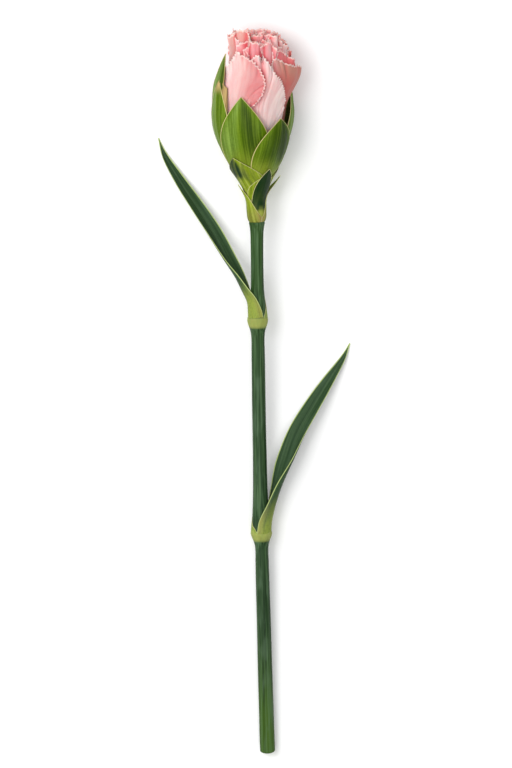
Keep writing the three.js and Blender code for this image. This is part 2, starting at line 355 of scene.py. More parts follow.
@dataclass
class Tube:
    """A closed body on a grid that joins up round its axis: n points round by m lengthwise.

    The azimuth turns to the right from the upward side and the rows run ahead, and a fan of
    triangles closes each end on its own middle.
    """

    grid: Array
    marks: dict[str, Array]

    def build(self, name: str, material: bpy.types.Material) -> bpy.types.Object:
        """Makes the object from the name and the finish."""
        n, m = self.grid.shape[:2]
        points = np.concatenate([
            self.grid.reshape(-1, 3), self.grid[:, 0].mean(0)[None], self.grid[:, -1].mean(0)[None],
        ])
        index = np.arange(n * m).reshape(n, m)
        after = np.roll(index, -1, 0)
        side = np.stack([index[:, :-1], after[:, :-1], after[:, 1:], index[:, 1:]], -1).reshape(-1, 4)
        start = np.stack([np.full(n, n * m), after[:, 0], index[:, 0]], -1)
        end = np.stack([np.full(n, n * m + 1), index[:, -1], after[:, -1]], -1)
        faces = side.tolist() + start.tolist() + end.tolist()
        marks = {}
        for key, values in self.marks.items():
            ends = [values[:, 0].mean(0)[None], values[:, -1].mean(0)[None]]
            marks[key] = np.concatenate([values.reshape(n * m, *values.shape[2:]), *ends])
        return mesh_object(name, points, faces, marks, material)


# ---------------------------------------------------------------- shader bench


class Wire:
    """A socket that plain arithmetic works on: each operation adds one Math node."""

    def __init__(self, bench: "Bench", socket: bpy.types.NodeSocket) -> None:
        """Keeps the bench that owns the nodes, and the socket."""
        self.bench, self.socket = bench, socket

    def _math(self, operation: str, first: "Wire | float", second: "Wire | float") -> "Wire":
        """One Math node on two values."""
        node = self.bench.node("ShaderNodeMath", {"operation": operation}, {0: first, 1: second})
        return Wire(self.bench, node.outputs[0])

    def __add__(self, other: "Wire | float") -> "Wire":
        """self + other."""
        return self._math("ADD", self, other)

    def __sub__(self, other: "Wire | float") -> "Wire":
        """self - other."""
        return self._math("SUBTRACT", self, other)

    def __rsub__(self, other: float) -> "Wire":
        """other - self."""
        return self._math("SUBTRACT", other, self)

    def __mul__(self, other: "Wire | float") -> "Wire":
        """self * other."""
        return self._math("MULTIPLY", self, other)

    __radd__, __rmul__ = __add__, __mul__

    def step(self, low: float, high: float) -> "Wire":
        """A soft step from 0 at `low` to 1 at `high`; it falls where low is above high."""
        falls = low > high
        node = self.bench.node(
            "ShaderNodeMapRange", {"interpolation_type": "SMOOTHSTEP"},
            {0: self, 1: min(low, high), 2: max(low, high), 3: float(falls), 4: float(not falls)},
        )
        return Wire(self.bench, node.outputs[0])


class Bench:
    """The node tree of one material, and the few ways in which nodes are added to it."""

    def __init__(self, name: str) -> None:
        """Starts an empty material."""
        self.material = bpy.data.materials.new(name)
        self.material.use_nodes = True
        self.tree = self.material.node_tree
        self.tree.nodes.clear()

    def node(self, kind: str, settings: dict | None = None, inputs: dict | None = None) -> bpy.types.Node:
        """Adds a node.

        Args:
            kind: The node's type.
            settings: Its properties, which are set first.
            inputs: Values or wires by socket name or number.

        Returns:
            The node.
        """
        made = self.tree.nodes.new(kind)
        for key, value in (settings or {}).items():
            setattr(made, key, value)
        for key, value in (inputs or {}).items():
            if isinstance(value, Wire):
                self.tree.links.new(value.socket, made.inputs[key])
            else:
                made.inputs[key].default_value = value
        return made

    def mark(self, name: str) -> Wire:
        """A number that the mesh carries at each vertex."""
        return Wire(self, self.node("ShaderNodeAttribute", {"attribute_name": name}).outputs["Fac"])

    def grain(self, across: float, lengthwise: float) -> Wire:
        """The mesh's grain coordinates in millimetres, times a rate across and a rate along."""
        read = self.node("ShaderNodeAttribute", {"attribute_name": "grain"}).outputs["Vector"]
        scaled = self.node(
            "ShaderNodeVectorMath", {"operation": "MULTIPLY"},
            {0: Wire(self, read), 1: (across, lengthwise, across)},
        )
        return Wire(self, scaled.outputs[0])

    def place(self) -> Wire:
        """Object coordinates."""
        return Wire(self, self.node("ShaderNodeTexCoord").outputs["Object"])

    def noise(self, vector: Wire, scale: float = 1.0, detail: float = 2.0, distortion: float = 0.0) -> Wire:
        """Smooth noise about one half."""
        made = self.node("ShaderNodeTexNoise", None, {
            "Vector": vector, "Scale": scale, "Detail": detail, "Distortion": distortion,
        })
        return Wire(self, made.outputs["Fac"])

    def blend(self, first: "Wire | Colour", second: "Wire | Colour", factor: "Wire | float") -> Wire:
        """The second colour over the first, by a factor that is held between 0 and 1."""
        made = self.node(
            "ShaderNodeMix", {"data_type": "RGBA", "blend_type": "MIX", "clamp_factor": True},
            {0: factor, 6: first, 7: second},
        )
        return Wire(self, made.outputs[2])

    def bump(self, height: Wire, depth: float) -> Wire:
        """A bump whose full height is `depth` millimetres."""
        made = self.node("ShaderNodeBump", None, {
            "Height": height, "Distance": depth * MILLIMETRE, "Strength": 1.0,
        })
        return Wire(self, made.outputs["Normal"])

    def finish(self, inputs: dict) -> bpy.types.Material:
        """Ends the tree in a Principled shader with these inputs, and returns the material."""
        shader = self.node("ShaderNodeBsdfPrincipled", {"subsurface_method": "RANDOM_WALK"}, inputs)
        out = self.node("ShaderNodeOutputMaterial")
        self.tree.links.new(shader.outputs[0], out.inputs["Surface"])
        return self.material


# ---------------------------------------------------------------- finishes


@dataclass(frozen=True)
class GreenFinish:
    """Living green tissue: pale and dark streaks along it, a waxy bloom and a pale margin.

    The marks it reads are grain, up (0 at the foot, 1 at the tip), edge (millimetres from the
    margin), deep (1 where the green is darkest, -1 where it is palest; on the sepals it is
    painted shade on the side turned from the light and painted light on the side turned to it),
    dry (1 where the tissue is papery) and rib (1 on the midrib).
    """

    name: str
    foot: Colour
    body: Colour
    # dark green of streaks and specks, also painted shade on the sepals
    dark: Colour
    streak: Colour
    margin: Colour
    # waxy bloom, also painted light on the lit sides of the sepals
    bloom: Colour
    papery: Colour = tint(186, 158, 104)
    burnt: Colour = tint(70, 34, 16)
    foot_end: tuple[float, float] = (0.05, 0.45)
    margin_width: tuple[float, float] = (0.08, 0.24)
    margin_share: float = 0.9
    streak_rate: tuple[float, float] = (1.6, 0.035)
    streak_share: float = 0.5
    dark_share: float = 0.55
    bloom_share: float = 0.3
    vein_depth: float = 0.06
    roughness: float = 0.5
    fine_rate: tuple[float, float] = (2.7, 2.5)  # of the fine streaks, times the streaks' own
    broad_rate: tuple[float, float] = (0.2, 0.05)
    speck_scale: float = 1400.0
    gloss: float = 0.1
    glow: float = 0.04
    glow_radius: tuple[float, float, float] = (0.6, 1.0, 0.3)
    glow_scale: float = 0.0004

    def material(self) -> bpy.types.Material:
        """Builds the node tree.

        Colour runs from foot to body along the piece, to dark where the deep mark is above 0 and to
        bloom where it is below 0; on the sepals these are painted shade and painted light. Streaks
        are noise stretched lengthwise at two scales; bloom is broad noise. Papery parts, with
        brown stains, and the margin lie over the rest.

        Returns:
            The material.
        """
        b = Bench(self.name)
        up, edge, deep, dry, rib = (b.mark(k) for k in ("up", "edge", "deep", "dry", "rib"))
        across, lengthwise = self.streak_rate
        streaks = b.noise(b.grain(across, lengthwise), 1.0, 3.0)
        fine_across, fine_lengthwise = self.fine_rate
        fine = b.noise(b.grain(across * fine_across, lengthwise * fine_lengthwise), 1.0, 2.0)
        broad = b.noise(b.grain(*self.broad_rate), 1.0, 2.0, 0.4)
        speck = b.noise(b.place(), self.speck_scale, 2.0)
        colour = b.blend(self.foot, self.body, (up + 0.25 * (broad - 0.5)).step(*self.foot_end))
        # Dark where the deep mark is above 0: painted shade on the sepals, the own darker green of leaves
        # and scales elsewhere.
        colour = b.blend(colour, self.dark, deep * (0.55 + 0.9 * fine))
        # Painted light: bloom colour where the deep mark is below 0, on the lit sides of the sepals.
        colour = b.blend(colour, self.bloom, deep * -1.0 * (0.25 + 0.9 * streaks.step(0.35, 0.65)))
        broad_streaks = streaks.step(0.46, 0.68) * self.streak_share * (1.0 - 0.45 * deep)
        colour = b.blend(colour, self.streak, broad_streaks)
        colour = b.blend(colour, self.dark, streaks.step(0.5, 0.3) * self.dark_share)
        fine_streaks = fine.step(0.56, 0.7) * self.streak_share * (0.55 - 0.2 * deep)
        colour = b.blend(colour, self.streak, fine_streaks)
        colour = b.blend(colour, self.bloom, broad.step(0.45, 0.75) * self.bloom_share)
        colour = b.blend(colour, self.dark, speck.step(0.45, 0.8) * 0.25)
        colour = b.blend(colour, self.streak, rib * 0.4)
        colour = b.blend(colour, self.papery, dry)
        colour = b.blend(colour, self.burnt, dry * streaks.step(0.42, 0.62) * 0.5)
        margin = b.blend(self.margin, self.burnt, dry * 0.8)
        narrow, wide = self.margin_width
        colour = b.blend(colour, margin, edge.step(wide, narrow) * self.margin_share)
        rough = self.roughness + 0.16 * (fine - 0.5) + 0.08 * broad + 0.2 * dry
        height = streaks * 0.7 + fine * 0.4 + speck * 0.12
        return b.finish({
            "Base Color": colour, "Roughness": rough, "Normal": b.bump(height, self.vein_depth),
            "Specular IOR Level": self.gloss, "Subsurface Weight": self.glow,
            "Subsurface Radius": self.glow_radius, "Subsurface Scale": self.glow_scale,
        })


@dataclass(frozen=True)
class StemFinish:
    """The stem's skin: blue green under a waxy bloom, pale rings at the joints, a wet cut face.

    The marks it reads are grain, ring (1 at a joint), low (1 at the cut end), neck (1 near the
    bud), face (1 on the cut) and core (0 at the middle of the cut, 1 at its rim).
    """

    name: str = "stem_skin"
    body: Colour = tint(38, 64, 34)
    upper: Colour = tint(46, 76, 30)
    low: Colour = tint(58, 88, 14)
    ring: Colour = tint(156, 166, 84)
    tan: Colour = tint(150, 128, 72)
    streak: Colour = tint(86, 114, 76)
    dark: Colour = tint(14, 34, 12)
    bloom: Colour = tint(88, 112, 86)
    pith: Colour = tint(186, 200, 140)
    wood: Colour = tint(110, 138, 66)
    cell: Colour = (0.05, 0.09, 0.02, 1.0)
    stripe_rate: tuple[float, float] = (1.9, 0.03)
    fine_rate: tuple[float, float] = (5.5, 0.09)
    rubbed_rate: tuple[float, float] = (0.5, 0.09)
    speck_scale: float = 1600.0
    stria_depth: float = 0.07
    roughness: float = 0.48
    gloss: float = 0.14
    glow: float = 0.04
    glow_radius: tuple[float, float, float] = (0.6, 1.0, 0.4)
    glow_scale: float = 0.0004

    def material(self) -> bpy.types.Material:
        """Builds the node tree: striations along the skin, bloom over them, rings over both."""
        b = Bench(self.name)
        ring, low, neck, face, core = (b.mark(k) for k in ("ring", "low", "neck", "face", "core"))
        stripes = b.noise(b.grain(*self.stripe_rate), 1.0, 3.0)
        fine = b.noise(b.grain(*self.fine_rate), 1.0, 2.0)
        rubbed = b.noise(b.grain(*self.rubbed_rate), 1.0, 3.0, 0.5)
        speck = b.noise(b.place(), self.speck_scale, 2.0)
        colour = b.blend(self.body, self.upper, neck)
        colour = b.blend(colour, self.low, low)
        colour = b.blend(colour, self.streak, stripes.step(0.47, 0.66) * 0.5)
        colour = b.blend(colour, self.dark, stripes.step(0.5, 0.34) * 0.6)
        colour = b.blend(colour, self.bloom, rubbed.step(0.46, 0.7) * 0.34)
        colour = b.blend(colour, self.dark, fine.step(0.45, 0.75) * 0.3)
        skin = ring * (0.75 + 0.7 * (rubbed - 0.5))
        colour = b.blend(colour, self.ring, skin)
        colour = b.blend(colour, self.tan, skin * fine.step(0.5, 0.7) * 0.5)
        inside = b.blend(self.pith, self.wood, core.step(0.45, 0.85))
        inside = b.blend(inside, self.cell, speck.step(0.45, 0.75) * 0.4)
        colour = b.blend(colour, inside, face)
        rough = self.roughness + 0.14 * (fine - 0.5) + 0.14 * rubbed - 0.1 * face
        height = stripes * 0.5 + fine * 0.5 + speck * 0.2
        return b.finish({
            "Base Color": colour, "Roughness": rough, "Normal": b.bump(height, self.stria_depth),
            "Specular IOR Level": self.gloss, "Subsurface Weight": self.glow,
            "Subsurface Radius": self.glow_radius, "Subsurface Scale": self.glow_scale,
        })


@dataclass(frozen=True)
class PetalFinish:
    """A petal's velvety, half clear tissue.

    The marks it reads are grain, up (0 at the claw, 1 at the margin), edge (millimetres from
    the margin), deep (painted shade: 1 in the valleys of folds, near the margin of a petal
    that lies over this one and, faintly, on the inner face), blush (1 where the pink is
    strongest) and the tan mark (1 where a tan tint paints shade).
    """

    name: str
    claw: Colour = tint(236, 214, 196)
    pale: Colour = tint(247, 211, 206)
    pink: Colour = tint(223, 124, 133)
    # painted shade: the deep pink drawn in folds, beside overlying petals, on inner faces and lower on
    # blushed limbs
    fold_shade: Colour = tint(206, 62, 74)
    rim: Colour = tint(254, 220, 212)
    # painted shade: the tan drawn, mostly, on petals turned from the light
    tan: Colour = tint(176, 118, 98)
    fold_shade_share: float = 0.85
    vein_rate: tuple[float, float] = (1.9, 0.08)
    cloud_rate: tuple[float, float] = (0.4, 0.16)
    cell_scale: float = 2600.0
    vein_depth: float = 0.03
    roughness: float = 0.6
    gloss: float = 0.16
    sheen: float = 0.05
    sheen_roughness: float = 0.45
    sheen_tint: Colour = (1.0, 0.86, 0.84, 1.0)
    glow: float = 0.5
    glow_radius: tuple[float, float, float] = (1.0, 0.36, 0.3)
    glow_scale: float = 0.0012

    def material(self) -> bpy.types.Material:
        """Builds the node tree: cream claw, pale limb, pink blush, painted shade in deep pink and tan, a
        pale rim.
        """
        b = Bench(self.name)
        up, edge, deep, blush, tan_shade = (b.mark(k) for k in ("up", "edge", "deep", "blush", "tan_shade"))
        veins = b.noise(b.grain(*self.vein_rate), 1.0, 3.0, 0.3)
        cloud = b.noise(b.grain(*self.cloud_rate), 1.0, 3.0, 0.5)
        cells = b.noise(b.place(), self.cell_scale, 2.0)
        colour = b.blend(self.claw, self.pale, up.step(0.2, 0.5))
        colour = b.blend(colour, self.pink, blush + 0.55 * (cloud - 0.5))
        colour = b.blend(colour, self.pink, veins.step(0.47, 0.68) * 0.16)
        # Painted shade: a tan tint, mostly over petals turned from the light.
        colour = b.blend(colour, self.tan, tan_shade)
        # Painted shade: deep pink in folds, beside overlying petals and on inner faces, then deeper pink
        # further below the margin of blushed petals.
        colour = b.blend(colour, self.fold_shade, (deep + 0.4 * (cloud - 0.5) * deep) * self.fold_shade_share)
        colour = b.blend(colour, self.fold_shade, edge.step(1.5, 7.0) * blush * 0.45)
        colour = b.blend(colour, self.rim, edge.step(0.5, 0.12) * 0.6)
        rough = self.roughness + 0.14 * (veins - 0.5) + 0.08 * (cells - 0.5)
        height = veins * 0.75 + cells * 0.25
        return b.finish({
            "Base Color": colour, "Roughness": rough, "Normal": b.bump(height, self.vein_depth),
            "Specular IOR Level": self.gloss, "Sheen Weight": self.sheen,
            "Sheen Roughness": self.sheen_roughness, "Sheen Tint": self.sheen_tint,
            "Subsurface Weight": self.glow, "Subsurface Radius": self.glow_radius,
            "Subsurface Scale": self.glow_scale,
        })


@dataclass(frozen=True)
class PistilFinish:
    """The seed vessel: pale green below, cream above, with soft ribs."""

    name: str = "pistil_skin"
    foot: Colour = tint(170, 196, 110)
    styles: Colour = tint(240, 236, 208)
    rib: Colour = tint(140, 170, 90)
    rib_rate: tuple[float, float] = (1.5, 0.05)
    rib_depth: float = 0.05
    speck_scale: float = 1500.0
    roughness: float = 0.45
    glow: float = 0.2
    glow_radius: tuple[float, float, float] = (0.8, 1.0, 0.5)
    glow_scale: float = 0.0008

    def material(self) -> bpy.types.Material:
        """Builds the node tree: a green foot that pales upwards, and ribs over both."""
        b = Bench(self.name)
        ribs = b.noise(b.grain(*self.rib_rate), 1.0, 2.0)
        speck = b.noise(b.place(), self.speck_scale, 2.0)
        colour = b.blend(self.foot, self.styles, b.mark("up").step(0.2, 0.6))
        colour = b.blend(colour, self.rib, ribs.step(0.45, 0.7) * 0.4)
        return b.finish({
            "Base Color": colour, "Roughness": self.roughness + 0.2 * (speck - 0.5),
            "Normal": b.bump(ribs * 0.8 + speck * 0.2, self.rib_depth),
            "Subsurface Weight": self.glow, "Subsurface Radius": self.glow_radius,
            "Subsurface Scale": self.glow_scale,
        })


class Slot(Enum):
    """The record's material slots."""

    STEM = "stem"
    LEAF = "leaf"
    SHEATH = "sheath"
    BRACT = "bract"
    SEPAL = "sepal"
    PETAL = "petal"
    PISTIL = "pistil"


def enlist(piece: bpy.types.Object, slot: Slot, *nodes: str) -> None:
    """Ties a piece to the part.

    Args:
        piece: The finished object.
        slot: A material slot; not used.
        nodes: CAD nodes that it stands for.
    """
    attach(piece, BODY)
    if nodes:
        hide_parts(*nodes)
    stands_for = ", ".join(nodes) or "no node"
    LOG.info("%s: %d faces for %s", piece.name, len(piece.data.polygons), stands_for)


# ---------------------------------------------------------------- stem


@dataclass(frozen=True)
class Stem:
    """The jointed stem, from its slanted cut to the receptacle inside the bud."""

    profile: tuple[Row, ...] = (
        (0, 2.6), (4, 2.6), (30, 2.5), (58, 2.38), (66, 2.3), (70.1, 2.25), (71.8, 2.42),
        (73.2, 2.8), (74.3, 3.25), (75.3, 3.6), (76.1, 3.7), (76.8, 3.45), (77.6, 3.25),
        (80, 3.12), (83, 2.92), (87.5, 2.66), (94, 2.48), (108, 2.38), (124, 2.36), (138, 2.33),
        (143.3, 2.28), (145.2, 2.4), (146.8, 2.66), (148, 3.08), (149, 3.42), (150.2, 3.6),
        (151, 3.56), (151.7, 3.2), (152.6, 2.95), (156, 2.73), (159, 2.45), (162, 2.26),
        (167, 2.18), (172, 2.18), (180, 2.26), (182, 2.42), (183.5, 2.66), (184.3, 2.78),
        (184.9, 2.3), (189, 1.95), (192.5, 1.7), (195, 2.2), (196.6, 3.1), (198.2, 3.85),
    )
    slant: float = 0.32
    slant_reach: float = 5.0
    round_count: int = 56
    row_step: float = 0.6
    # where each joint's pale ring starts and ends, and how softly
    joints: Table = ((73.4, 76.7, 0.35), (147.8, 151.4, 0.35))
    lip: float = 0.1  # rounding of the cut face's rim
    face_rows: int = 14
    lip_rows: int = 5
    rib_height: tuple[float, float] = (0.012, 0.008)  # of the three broad and seven narrow ribs

    def grid(self) -> Tube:
        """Lathes the profile round the stem's line.

        The rows run from the middle of the cut face out to its softened rim, then along the
        skin. Point = line(y) + r * (up * cos a + right * sin a), and on the cut y is drawn
        back by slant * height above the axis, which fades over a few millimetres.

        Returns:
            The tube with its marks.
        """
        first = self.profile[0][1]
        face_share = np.linspace(0.02, 0.965, self.face_rows)
        sunk = 0.16 * smooth(face_share, 0.55, 0.9)
        face_y = 0.05 + 0.132 * (1 - face_share**2) - sunk
        lip_drop = self.lip * (1 - np.sin(np.linspace(0.15, 1.0, self.lip_rows) * math.pi / 2))
        lip_y, lip_r = lip_drop - self.lip, first - lip_drop
        skin_y = np.arange(0.3, self.profile[-1][0], self.row_step)
        y = np.concatenate([face_y * 0.5, lip_y * 0.5, skin_y, [self.profile[-1][0]]])
        skin_r = along(self.profile, skin_y)
        r = np.concatenate([first * face_share, lip_r, skin_r, [self.profile[-1][1]]])
        azimuth = np.arange(self.round_count) * 360 / self.round_count
        yy, aa = np.meshgrid(y, azimuth)
        rr = np.broadcast_to(r, yy.shape)
        broad, narrow = self.rib_height
        broad_ribs = broad * np.sin(np.radians(aa * 3) + yy * 0.07)
        narrow_ribs = narrow * np.sin(np.radians(aa * 7) - yy * 0.21)
        swell = 1 + broad_ribs + narrow_ribs
        skin = smooth(yy, 1.5, 4.0)
        radius = rr * mix(1.0, swell, skin)
        points = STEM.around(yy, radius, aa)
        draw = self.slant * rr * np.cos(np.radians(aa)) * (1 - smooth(yy, 0, self.slant_reach))
        points[..., 1] -= draw
        rows = np.arange(len(y))
        face = np.broadcast_to((rows < self.face_rows + 2).astype(float), yy.shape)
        ring = sum(
            smooth(yy, low - fade, low + fade) * (1 - smooth(yy, high - fade, high + fade))
            for low, high, fade in self.joints
        )
        grain = np.stack([rr * np.cos(np.radians(aa)), yy, rr * np.sin(np.radians(aa))], -1)
        return Tube(points, {
            "grain": grain, "ring": ring, "face": face, "core": rr / first,
            "low": 1 - smooth(yy, 4, 46), "neck": smooth(yy, 120, 180),
        })

    def build(self) -> None:
        """Makes the piece."""
        enlist(self.grid().build("stalk", StemFinish().material()), Slot.STEM, "stem")


# ---------------------------------------------------------------- leaves


@dataclass(frozen=True)
class Leaf:
    """A narrow leaf: a sheath clasping the stem that opens into a channelled blade.

    Each station is [x, y, z, turn of the outer side from level to down, half arc, arc radius],
    angles in degrees, along the midrib's outer side.
    """

    name: str
    node: str
    side: int
    stations: Table
    thick: float = 0.42
    across: int = 34
    lengthwise: int = 200
    sheath_share: float = 0.2
    crowding: float = 0.85 * math.pi / 2  # points crowd towards the margins as a sine does
    margin_thin: float = 0.62  # how much thinner the margins are
    groove: float = 0.2  # depth of the groove along the midrib, and its share of the half width
    groove_share: float = 0.1
    roll: float = 0.25  # how far the margins roll in
    rib_width: float = 0.26

    def grid(self) -> Slab:
        """Bends a strip round the midrib.

        Point = midrib + outward * (shell * cos(arc) - radius) + sideways * shell * sin(arc),
        with shell the arc's radius less half the thickness, and arc the station's half arc
        times the share across. The blade thins towards its margins and its tip.

        Returns:
            The slab with its marks.
        """
        last = len(self.stations) - 1
        table = tuple((i / last, *row) for i, row in enumerate(self.stations))
        t = np.linspace(0, 1, self.lengthwise)
        s = np.sin(np.linspace(-1, 1, self.across) * self.crowding) / math.sin(self.crowding)
        midrib = np.stack([along(table, t, k) for k in (1, 2, 3)], -1)
        ahead = unit(np.gradient(midrib, axis=0))
        level = unit(np.cross(ahead, np.array([0.0, 0.0, 1.0]))) * self.side
        down = unit(np.cross(ahead, level)) * self.side
        turn = np.radians(along(table, t, 4))[:, None]
        outward = level * np.cos(turn) + down * np.sin(turn)
        sideways = np.cross(ahead, outward)
        half, radius = along(table, t, 5), along(table, t, 6)
        ss, tt = np.meshgrid(s, t, indexing="ij")
        arc = np.radians(half)[None] * ss
        thick = self.thick * (1 - self.margin_thin * ss**2) * mix(1.0, 0.5, smooth(tt, 0.8, 1.0))
        blade = smooth(tt, 0.18, 0.4)
        groove = self.groove * np.exp(-((ss / self.groove_share) ** 2)) * blade
        groove = groove * (1 - smooth(tt, 0.9, 1.0))
        roll = self.roll * smooth(np.abs(ss), 0.78, 1.0) * blade * (1 - smooth(tt, 0.85, 1.0))
        shell = radius[None] - self.thick * 0.5 + groove - roll
        points = (
            midrib[None]
            + outward[None] * (shell * np.cos(arc) - radius[None])[..., None]
            + sideways[None] * (shell * np.sin(arc))[..., None]
        )
        width = np.radians(half) * radius
        length = np.concatenate([[0], np.cumsum(np.linalg.norm(np.diff(midrib, axis=0), axis=1))])
        grain = np.stack([ss * width[None], np.broadcast_to(length, ss.shape), 0 * ss], -1)
        rib = np.exp(-((ss * width[None] / self.rib_width) ** 2)) * blade
        sheath = 1 - smooth(tt, self.sheath_share * 0.35, self.sheath_share * 1.5)
        return Slab(points, thick, {
            "grain": grain,
            "up": np.broadcast_to(length / length[-1], ss.shape) + 0 * ss,
            "edge": (1 - np.abs(ss)) * width[None] + 0 * ss,
            "dry": 0.25 * sheath * smooth(np.abs(ss), 0.5, 1.0),
            "rib": np.stack([0.2 * rib, rib]),
            "deep": 0.45 * smooth(tt, 0.3, 0.6) * (1 - np.abs(ss)),
        })

    def build(self, material: bpy.types.Material) -> None:
        """Makes the piece with the leaf finish."""
        enlist(self.grid().build(self.name, material), Slot.LEAF, self.node)


@dataclass(frozen=True)
class Stub:
    """The torn sheath of a leaf that was pulled off: highest in the middle, low at its sides."""

    name: str
    node: str
    start: float
    height: float
    azimuth: float
    low: float = 0.4
    half: float = 89.0
    radius: float = 3.45
    shrink: float = 0.25
    shrink_rise: float = 4.0
    most_shrink: float = 1.6
    thick: float = 0.42
    across: int = 72
    lengthwise: int = 20

    def grid(self) -> Slab:
        """Wraps a strip round the stem.

        It rises by t * (low + (height - low) * (1 - |s|) ^ 0.9), with an edge torn in two
        small waves. Towards that edge it draws in by `shrink` for each `shrink_rise` of its
        height, and by `most_shrink` times `shrink` at the most.

        Returns:
            The slab with its marks.
        """
        s, t = np.linspace(-1, 1, self.across), np.linspace(0, 1, self.lengthwise)
        ss, tt = np.meshgrid(s, t, indexing="ij")
        torn = 0.12 * np.sin(ss * 17 + 1.3) + 0.08 * np.sin(ss * 41 + 0.4)
        top = self.low + (self.height - self.low) * (1 - np.abs(ss)) ** 0.9 + torn
        rise = tt * top
        thick = self.thick * (1 - 0.6 * tt) * (1 - 0.4 * ss**2)
        drawn_in = self.shrink * tt * np.minimum(top / self.shrink_rise, self.most_shrink)
        shell = self.radius - drawn_in - self.thick * 0.5
        points = STEM.around(self.start + rise, shell, self.azimuth + ss * self.half)
        width = math.radians(self.half) * self.radius
        return Slab(points, thick, {
            "grain": np.stack([ss * width, rise, 0 * ss + 7], -1),
            "up": tt,
            "edge": np.minimum((1 - np.abs(ss)) * width + 0.3, (1 - tt) * top),
            "dry": 0.35 * smooth(tt, 0.8, 1),
            "rib": 0 * ss,
            "deep": 0 * ss,
        })

    def build(self, material: bpy.types.Material) -> None:
        """Makes the piece with the sheath finish."""
        enlist(self.grid().build(self.name, material), Slot.SHEATH, self.node)


@dataclass(frozen=True)
class Foliage:
    """The two leaves and the torn sheaths opposite them."""

    upper: Leaf = Leaf("blade_upper", "upper_leaf", -1, (
        (-1.52, 150.6, 11.62, -35, 91, 3.45), (-1.85, 153.0, 11.15, -26, 91, 3.45),
        (-2.4, 156.4, 10.5, -12, 80, 3.45), (-4.1, 160.2, 9.75, 4, 73, 3.45),
        (-6.4, 165.2, 8.85, 22, 66, 3.6), (-9.5, 171.0, 7.8, 38, 54, 4.2),
        (-14.6, 180.4, 5.95, 52, 41.5, 5.0), (-20.1, 189.0, 4.1, 57, 33, 5.4),
        (-25.7, 197.4, 2.2, 60, 27, 5.1), (-30.7, 205.8, 0.8, 62, 20, 3.9),
        (-33.1, 212.4, 0.15, 62, 7, 2.0),
    ))
    lower: Leaf = Leaf("blade_lower", "lower_leaf", 1, (
        (5.85, 75.7, 7.45, -19, 92, 3.75), (6.1, 79.6, 7.3, -14, 88, 3.75),
        (7.25, 84.6, 7.0, -4, 76, 3.75), (8.95, 90.6, 6.6, 10, 71, 3.9),
        (10.5, 95.2, 6.15, 24, 69, 4.3), (12.4, 101.0, 5.6, 38, 60, 5.0),
        (15.8, 110.4, 4.6, 50, 45, 5.7), (20.4, 119.0, 3.45, 56, 36, 5.9),
        (25.5, 127.4, 2.0, 60, 29.5, 5.2), (30.7, 135.7, 0.75, 62, 20, 3.6),
        (33.2, 141.2, 0.15, 62, 7, 2.0),
    ))
    stubs: tuple[Stub, ...] = (
        Stub("sheath_upper", "upper_leaf_stub", 150.6, 8.0, 125, radius=3.6, shrink=0.4),
        Stub("sheath_lower", "lower_leaf_stub", 75.7, 6.0, -109, radius=3.75, shrink=0.3),
    )

    def build(self) -> None:
        """Makes the four pieces."""
        skin = GreenFinish(
            "leaf_skin", foot=tint(136, 150, 60), body=tint(46, 71, 42), dark=tint(20, 42, 20),
            streak=tint(84, 110, 74), margin=tint(176, 192, 122), bloom=tint(80, 104, 84),
            foot_end=(0.04, 0.2), margin_width=(0.16, 0.38), margin_share=0.95,
            streak_rate=(1.5, 0.02), streak_share=0.35, bloom_share=0.28,
        ).material()
        sheath = GreenFinish(
            "sheath_skin", foot=tint(156, 166, 84), body=tint(120, 142, 56), dark=tint(70, 94, 24),
            streak=tint(166, 180, 102), margin=tint(206, 206, 150), bloom=tint(140, 158, 94),
            foot_end=(0.0, 0.8),
        ).material()
        self.upper.build(skin)
        self.lower.build(skin)
        for stub in self.stubs:
            stub.build(sheath)


# ---------------------------------------------------------------- calyx


